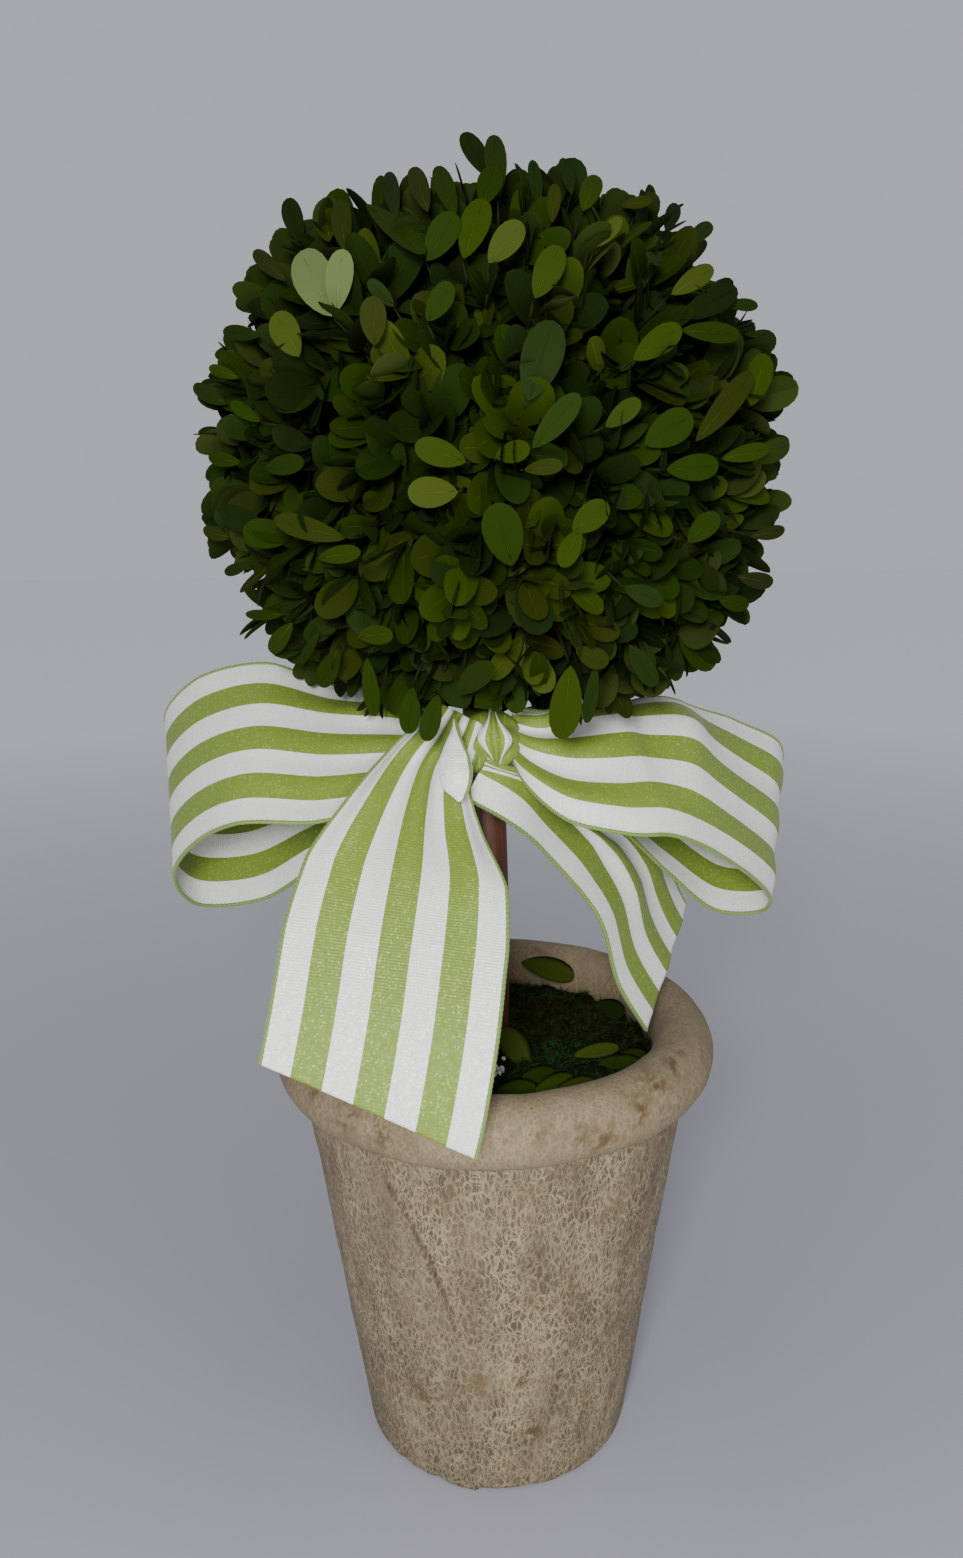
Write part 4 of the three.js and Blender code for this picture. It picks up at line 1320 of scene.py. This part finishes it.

# %% [markdown]
# The leaves that make the photograph's outline, and the large and bright ones that lie face
# out on its front, are laid one by one: root and tip in mm, the width over the length, and
# the green. Each faces halfway between straight out and the camera.

# %% Clipped ball: leaves laid one by one
LAID_LEAVES = [
    (-53, -49, 382, -66, -26, 395, 0.15, "olive"),
    (-50, -37, 394, -55, -30, 407, 0.38, "deep"),
    (-41, -51, 391, -45, -29, 408, 0.28, "fresh"),
    (-36, -59, 387, -39, -46, 403, 0.27, "olive"),
    (-60, -52, 368, -72, -43, 371, 0.27, "dark"),
    (-72, -41, 352, -86, -23, 359, 0.19, "mid"),
    (-67, -48, 358, -77, -40, 362, 0.24, "fresh"),
    (-73, -42, 345, -82, -35, 345, 0.26, "dark"),
    (-67, -51, 336, -78, -43, 338, 0.29, "mid"),
    (-74, -38, 316, -84, -29, 318, 0.31, "olive"),
    (-67, -47, 309, -76, -40, 306, 0.28, "dark"),
    (-58, -49, 295, -71, -39, 294, 0.20, "mid"),
    (-55, -52, 293, -66, -32, 282, 0.20, "fresh"),
    (-47, -57, 291, -54, -50, 281, 0.19, "dark"),
    (-42, -56, 286, -50, -42, 273, 0.29, "mid"),
    (-34, -60, 284, -33, -57, 267, 0.28, "mid"),
    (-22, -55, 275, -24, -52, 261, 0.42, "mid"),
    (-15, -56, 273, -19, -53, 259, 0.39, "mid"),
    (21, -66, 282, 19, -63, 261, 0.42, "fresh"),
    (28, -64, 282, 26, -61, 265, 0.23, "dark"),
    (37, -63, 287, 45, -60, 275, 0.38, "dark"),
    (60, -50, 292, 74, -23, 282, 0.07, "deep"),
    (63, -51, 298, 74, -42, 295, 0.33, "mid"),
    (69, -47, 304, 86, -23, 300, 0.17, "olive"),
    (72, -48, 315, 86, -33, 316, 0.20, "olive"),
    (69, -54, 335, 86, -35, 340, 0.25, "fresh"),
    (70, -51, 349, 73, -53, 362, 0.59, "fresh"),
    (69, -45, 368, 76, -45, 368, 0.30, "deep"),
    (63, -49, 375, 72, -47, 375, 0.38, "dark"),
    (53, -44, 391, 63, -28, 400, 0.21, "mid"),
    (47, -45, 394, 53, -29, 405, 0.21, "deep"),
    (35, -46, 400, 43, -48, 401, 0.41, "olive"),
    (24, -58, 396, 29, -46, 408, 0.31, "fresh"),
    (22, -49, 402, 21, -33, 416, 0.19, "dark"),
    (13, -59, 397, 12, -46, 412, 0.18, "dark"),
    (16, -64, 392, 17, -61, 402, 0.33, "olive"),
    (1, -42, 408, -6, -37, 421, 0.38, "deep"),
    (3, -57, 400, 2, -37, 421, 0.20, "mid"),
    (-1, -61, 397, 2, -54, 408, 0.49, "mid"),
    (-8, -63, 394, -13, -46, 411, 0.21, "mid"),
    (-15, -59, 396, -20, -35, 414, 0.17, "olive"),
    (-23, -57, 395, -27, -31, 414, 0.14, "dark"),
    (-39, -69, 370, -48, -58, 388, 0.46, "pale"),
    (-38, -69, 371, -36, -68, 386, 0.48, "pale"),
    (-48, -66, 361, -54, -64, 372, 0.62, "bright"),
    (-8, -85, 327, -20, -89, 327, 0.59, "bright"),
    (-6, -86, 334, -18, -89, 338, 0.50, "fresh"),
    (5, -83, 309, 1, -91, 324, 0.57, "mid"),
    (9, -85, 348, 15, -86, 366, 0.53, "dark"),
    (35, -77, 358, 47, -75, 366, 0.45, "fresh"),
    (10, -86, 337, 21, -89, 349, 0.37, "mid"),
    (-6, -74, 382, -1, -69, 397, 0.44, "fresh"),
    (0, -74, 381, 8, -75, 390, 0.58, "bright"),
    (-15, -72, 382, -8, -72, 393, 0.58, "mid"),
    (11, -79, 372, 17, -78, 384, 0.52, "fresh"),
    (27, -66, 386, 33, -65, 393, 0.40, "bright"),
    (38, -78, 338, 50, -77, 345, 0.61, "mid"),
    (20, -83, 317, 28, -87, 324, 0.61, "fresh"),
    (22, -83, 318, 17, -87, 309, 0.49, "fresh"),
    (52, -70, 339, 69, -59, 357, 0.24, "olive"),
    (28, -82, 342, 36, -84, 348, 0.48, "fresh"),
    (1, -86, 335, 9, -91, 337, 0.54, "fresh"),
    (8, -86, 332, 17, -90, 333, 0.39, "olive"),
    (-36, -64, 290, -26, -77, 292, 0.34, "fresh"),
    (-37, -75, 316, -56, -70, 321, 0.30, "olive"),
    (-60, -58, 319, -74, -51, 323, 0.44, "deep"),
    (51, -69, 314, 58, -72, 321, 0.62, "mid"),
    (46, -64, 375, 58, -57, 383, 0.33, "bright"),
    (48, -68, 366, 65, -60, 366, 0.28, "mid"),
    (48, -66, 369, 66, -51, 379, 0.27, "deep"),
    (-32, -43, 402, -16, -77, 384, 0.13, "mid"),
    (-28, -77, 362, -28, -79, 373, 0.60, "olive"),
    (-15, -80, 367, -9, -83, 375, 0.56, "mid"),
    (-9, -57, 273, -1, -77, 284, 0.30, "mid"),
    (13, -56, 272, 12, -78, 286, 0.20, "mid"),
    (22, -70, 287, 31, -67, 282, 0.56, "olive"),
    (60, -64, 335, 75, -55, 338, 0.26, "fresh"),
    (44, -75, 332, 58, -72, 333, 0.47, "mid"),
    (-59, -61, 334, -47, -77, 335, 0.26, "mid"),
    (-45, -69, 311, -33, -83, 313, 0.25, "fresh"),
    (-60, -59, 346, -68, -57, 351, 0.38, "mid"),
    (44, -60, 383, 39, -71, 383, 0.29, "olive"),
    (-23, -76, 371, -29, -77, 377, 0.43, "dark"),
    (34, -75, 303, 44, -75, 299, 0.49, "dark"),
]


# %% [markdown]
# A laid leaf needs three axes. Its way runs from root to tip, its upper side is the part of
# the wanted facing at right angles to that way, and the third follows from both.


# %% Clipped ball: axes of the laid leaves
def laid_leaves(rows, facing, cup, bend):
    """Root, axes and size of leaves laid one by one. Each turns its upper side as far towards
    its facing, a function of its root, as its own way allows."""
    rows = np.array([row[:7] for row in rows], float)
    root, span = rows[:, :3], rows[:, 3:6] - rows[:, :3]
    long, way = np.linalg.norm(span, axis=1), unit(span)
    size = np.stack([long, long * rows[:, 6], 0 * long + cup, 0 * long + bend, 0 * long], axis=1)
    return root, axes_of(way, square_to(facing(root), way)), size


def half_to_camera(root):
    """Halfway between straight out of the ball and the way to the camera."""
    return unit(root - BALL_MIDDLE) + unit(CAMERA_PLACE - root)


laid_root, laid_axes, laid_size = laid_leaves(LAID_LEAVES, half_to_camera, 0.05, 0.04)
print("leaves laid by hand:", len(LAID_LEAVES))

# %% [markdown]
# Dried box leaves have lost most of their gloss: their tops are smooth and a little waxy,
# their undersides dull, and both reflect little. A sprig is much of one age, so the greens
# are dealt out by sprig, with a stray leaf of another green now and then: most are dark, some
# olive, a few fresh and bright, and the pale one is kept for leaves that are laid one by one.
# Each green is one plain colour on one piece, with a paler one for the undersides.

# %% Box leaf greens
STRAY_SHARE = 0.22
# Share, upper side, underside and midrib
GREENS = {
    "deep": (0.2, "#131f07", "#1c250e", "#1b270a"),
    "dark": (0.28, "#172507", "#212b0e", "#20300b"),
    "mid": (0.25, "#1c2b06", "#283211", "#29380d"),
    "olive": (0.14, "#232a08", "#2c3314", "#323a10"),
    "fresh": (0.1, "#263308", "#303917", "#374511"),
    "bright": (0.03, "#333d11", "#3a421d", "#47521c"),
    "pale": (0.0, "#525c36", "#56603b", "#6a7548"),
}
green_shares = [row[0] for row in GREENS.values()]
deal = rng.choice(len(GREENS), SPRIGS, p=green_shares)
leaf_tone = deal[sprig_number]
stray = rng.random(len(leaf_tone)) < STRAY_SHARE
leaf_tone[stray] = rng.choice(len(GREENS), stray.sum(), p=green_shares)

laid_tone = np.array([list(GREENS).index(row[7]) for row in LAID_LEAVES])
root = np.concatenate([root, laid_root])
size = np.concatenate([size, laid_size])
leaf_axes = np.concatenate([leaf_axes, laid_axes])
leaf_tone = np.concatenate([leaf_tone, laid_tone])
print("leaves of each green:", dict(zip(GREENS, np.bincount(leaf_tone).tolist())))

# %% [markdown]
# Leaves of one green are joined into one piece, and their midribs into another. The deepest
# green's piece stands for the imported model's ball.

# %% Leaf pieces
TOP_FINISH = dict(Roughness=0.6, Specular_IOR_Level=0.025)
UNDER_FINISH = dict(Roughness=0.75, Specular_IOR_Level=0.01)
RIB_FINISH = dict(Specular_IOR_Level=0.02)
for number, (green, (_, top, under, rib)) in enumerate(GREENS.items()):
    top_side = plain_material("box_leaf_" + green, top, **TOP_FINISH)
    under_side = plain_material(f"box_leaf_{green}_underside", under, **UNDER_FINISH)
    vein = plain_material(f"box_leaf_{green}_midrib", rib, **RIB_FINISH)
    mine = leaf_tone == number
    blades, faces = leaf_blades(size[mine])
    points, all_faces = many(stood(blades, root[mine], leaf_axes[mine]), faces)
    below, rim = two_sides(blades[0], faces)
    kind = np.tile(below.astype(int), mine.sum())
    leaves = make_piece("leaves_" + green, points, all_faces, [top_side, under_side], kind=kind)
    crease(leaves, rim)
    dress(leaves, "box_leaves", *(["foliage_ball"] if green == "deep" else []))
    ribs, faces = midribs(size[mine])
    points, all_faces = many(stood(ribs, root[mine], leaf_axes[mine]), faces)
    dress(make_piece("midribs_" + green, points, all_faces, [vein]), "box_leaves")

# %% [markdown]
# Behind the leaves are the twigs and a dark ball of dried moss that they are pinned into. Only
# its shadow shows between the leaves.

# %% Twigs and inner ball
CORE_SHARE = 0.72
TWIG_RADII = 0.7 * np.array([1.2, 1, 0.8, 0.5])
twig_ends = np.concatenate([ends, laid_root])
starts = BALL_MIDDLE + (twig_ends - BALL_MIDDLE) * CORE_SHARE
steps = np.linspace(0, 1, len(TWIG_RADII))[None, :, None]
line = starts[:, None] + (twig_ends - starts)[:, None] * steps
twig_way = unit(twig_ends - starts)
side = unit(np.cross(twig_way, [[0.31, 0.2, 0.93]]))
twig_across = np.stack([side, np.cross(twig_way, side)], axis=1)
twig_ring = np.einsum("ck,tki->tci", circle_of(5), twig_across)
twig_points, faces = skins(line[:, :, None] + TWIG_RADII[:, None, None] * twig_ring[:, None])
twig_bark = plain_material("box_twig_bark", "#1a1d0b", Roughness=0.8, Specular_IOR_Level=0.1)
dress(make_piece("box_twigs", *many(twig_points, faces), [twig_bark]), "box_leaves")

core_way, _, _ = ball_ways(90, 150)
core_grid = BALL_MIDDLE + core_way * (CORE_SHARE * reach(core_way))[..., None]
lift = 1.8 * rough(core_grid, 9, 41) + 0.9 * rough(core_grid, 3.5, 42)
points, faces, _ = skin(core_grid + core_way * lift[..., None])
inner, tree, shader = new_material("dried_moss_core", Roughness=0.95)
tufts = noise(tree, object_place(tree), 3, 5)
coat(tree, shader, toned(tree, tufts, (0.35, "#070a03"), (0.7, "#1c230c")))
dress(make_piece("inner_moss_ball", points, outward(points, faces), [inner]), "box_leaves")

# %% [markdown]
# Moss fills the pot up to the rim's throat as a low mound. Its body is nearly black, a flat
# round of bumps that goes down at the edge, with noise for its tufts.

# %% Moss
MOSS_RADIUS, MOSS_TOP = 54.3, 144
MOSS_BUMP, MOSS_BUMP_LENGTH = 1.3, 3.5
MOSS_EDGE_DROP = 3.5


def moss_height(x, y):
    """The mound's height: flat, down at its edge by (r / R) ** 6, with sine bumps."""
    u, v = x / MOSS_BUMP_LENGTH, y / MOSS_BUMP_LENGTH
    bumps = np.sin(u + 1) * np.cos(v - 2) + 0.6 * np.sin(1.8 * u - 1.5 * v)
    return MOSS_TOP - MOSS_EDGE_DROP * (np.hypot(x, y) / MOSS_RADIUS) ** 6 + MOSS_BUMP * bumps


moss_radii = np.concatenate([[0], np.linspace(1, MOSS_RADIUS, 56), [MOSS_RADIUS] * 3, [0]])
x, y = (moss_radii[:, None, None] * circle_of(180)).transpose(2, 0, 1)
moss_grid = np.stack([x, y, moss_height(x, y)], axis=-1)
moss_grid[..., 2] += 0.8 * rough(moss_grid, 2.4, 51) + 0.4 * rough(moss_grid, 1.2, 52)
for back, level in ((-4, 140), (-3, 135), (-2, STEM_FOOT), (-1, STEM_FOOT)):
    moss_grid[back, :, 2] = np.minimum(moss_grid[back, :, 2], level)
points, faces, _ = skin(moss_grid)
moss_body, tree, shader = new_material("dried_moss", Roughness=0.95, Specular_IOR_Level=0.05)
tufts = noise(tree, object_place(tree), 4, 6)
coat(tree, shader, toned(tree, tufts, (0.35, "#0a0f05"), (0.6, "#16200e"), (0.78, "#252f15")))
mound = make_piece("moss_mound", points, outward(points, faces), [moss_body])
dress(mound, "dark_moss", "moss_bed")

# %% [markdown]
# Thousands of short bent fibres stand on the mound. Each is a three-sided blade that closes
# in a point and has its open root inside the moss. Some are nearly black and more are green,
# and those at the back right have dried brown.

# %% Moss fibres
FIBRES = {
    "black_green": (5200, "#0c1406"),
    "green": (6400, "#2c4a20"),
    "brown": (2600, "#2a1d0d"),
}
FIBRE_LENGTHS, FIBRE_SLOPES = (2.0, 4.6), (0.3, 1.0)
FIBRE_HALF_WIDTH, FIBRE_ROOT_DEPTH = 0.17, 0.5


def moss_fibres(amount, kind):
    """Bent three-sided fibres: root + reach * s along a slanting way, sagging by s * s."""
    angle = rng.uniform(0, 2 * np.pi, amount)
    radius = MOSS_RADIUS * np.sqrt(rng.uniform(0, 1, amount))
    x, y = radius * np.cos(angle), radius * np.sin(angle)
    if kind == "brown":
        x, y = np.abs(x) * 0.8 + 8, np.abs(y) * 0.7 - 4
        keep = np.hypot(x, y) < MOSS_RADIUS - 2
        x, y = x[keep], y[keep]
    keep = np.linalg.norm(np.stack([x, y], 1) - stem_middle(MOSS_TOP), axis=1) > STEM_RADIUS
    x, y = x[keep], y[keep]
    base = np.stack([x, y, moss_height(x, y) - FIBRE_ROOT_DEPTH], axis=1)
    heading = rng.uniform(0, 2 * np.pi, len(x))
    flat = np.stack([np.cos(heading), np.sin(heading), 0 * heading], axis=1)
    tall = rng.uniform(*FIBRE_SLOPES, len(x))[:, None] * np.array([[0, 0, 1.0]])
    long = rng.uniform(*FIBRE_LENGTHS, len(x))[:, None, None]
    s = np.linspace(0, 1, 4)[None, :, None]
    line = base[:, None] + long * (s * (0.6 * flat + tall)[:, None] + 0.35 * s * s * flat[:, None])
    line[..., 2] -= (long * 0.3 * s * s)[..., 0]
    side = np.cross(flat, [0, 0, 1.0])
    thick = (FIBRE_HALF_WIDTH * (1.05 - s))[..., None]
    corner = np.stack([side, 0.5 * flat + [0, 0, 0.8], -side], axis=1)[:, None]
    grid = line[:, :, None] + thick * corner
    _, faces, used = skin(grid[0], poles=(False, True))
    return many(grid.reshape(len(x), -1, 3)[:, used], faces)


for kind, (amount, colour) in FIBRES.items():
    points, faces = moss_fibres(amount, kind)
    fibre = plain_material("moss_fibre_" + kind, colour, Specular_IOR_Level=0.05)
    dress(make_piece("moss_fibres_" + kind, points, faces, [fibre]), "dark_moss")

# %% [markdown]
# A few crumbs of pale grit lie on the moss in front of the stem, strewn round two places.
# Each is a small ball of a few faces, stretched by chance.

# %% Grit
GRIT_PLACES, GRIT_SIZES = [(1, -24, 3), (-1, -30, 4)], (0.5, 1.1)
GRIT_EACH, GRIT_LIFT = 14, 1.2
grit = np.concatenate([rng.normal((x, y), wide / 2, (GRIT_EACH, 2)) for x, y, wide in GRIT_PLACES])
grit = np.column_stack([grit, moss_height(*grit.T) + GRIT_LIFT])
crumb, faces, _ = skin(ball_ways(6, 6)[0])
crumbs = grit[:, None] + crumb[None] * rng.uniform(*GRIT_SIZES, (len(grit), 1, 3))
points, all_faces = many(crumbs, outward(crumb, faces))
pale_crumbs = plain_material("pale_crumbs", "#a9aa9c", Roughness=0.9)
dress(make_piece("moss_grit", points, all_faces, [pale_crumbs]), "dark_moss")

# %% [markdown]
# A few leaves have dropped on the moss. They lie where the photograph shows them: one bright
# at the back against the pot, one leaning by the stem, and several along the front.

# %% Fallen leaves
# Root and tip in mm, width over length, colour
FALLEN = [
    (11.5, -21, 142.5, 2.6, -14, 153.5, 0.62, "bright"),
    (11, 43, 154, 32, 43, 149, 0.46, "bright"),
    (26, -20, 146, 42, -16, 148, 0.34, "bright"),
    (34, -23, 145, 48, -27, 147, 0.42, "mid"),
    (12, -43, 145, 25, -37, 148, 0.45, "fresh"),
    (0, -44, 146, 13, -42, 147, 0.5, "mid"),
    (18, -44, 145, 32, -38, 147, 0.42, "fresh"),
    (39, -26, 146, 51, -19, 147, 0.5, "olive"),
    (8, -34, 145, 20, -30, 146, 0.5, "mid"),
    (-14, 20, 145, -28, 31, 148, 0.56, "fresh"),
    (-35, -14, 145, -32, 3, 147, 0.56, "mid"),
    (-18, -30, 145, -33, -39, 147, 0.56, "olive"),
    (37, 24, 145, 46, 12, 147, 0.56, "dark"),
]


def to_camera_and_up(root):
    """The way to the camera, raised a little towards the sky."""
    return unit(CAMERA_PLACE - root) + np.array([0, 0, 0.6])


fall_root, fall_axes, fall_size = laid_leaves(FALLEN, to_camera_and_up, 0.2, 0.1)
for green in sorted({row[7] for row in FALLEN}):
    mine = np.array([row[7] == green for row in FALLEN])
    blades, faces = leaf_blades(fall_size[mine])
    points, all_faces = many(stood(blades, fall_root[mine], fall_axes[mine]), faces)
    surface = bpy.data.materials["box_leaf_" + green]
    dress(make_piece("fallen_leaves_" + green, points, all_faces, [surface]), "box_leaves")
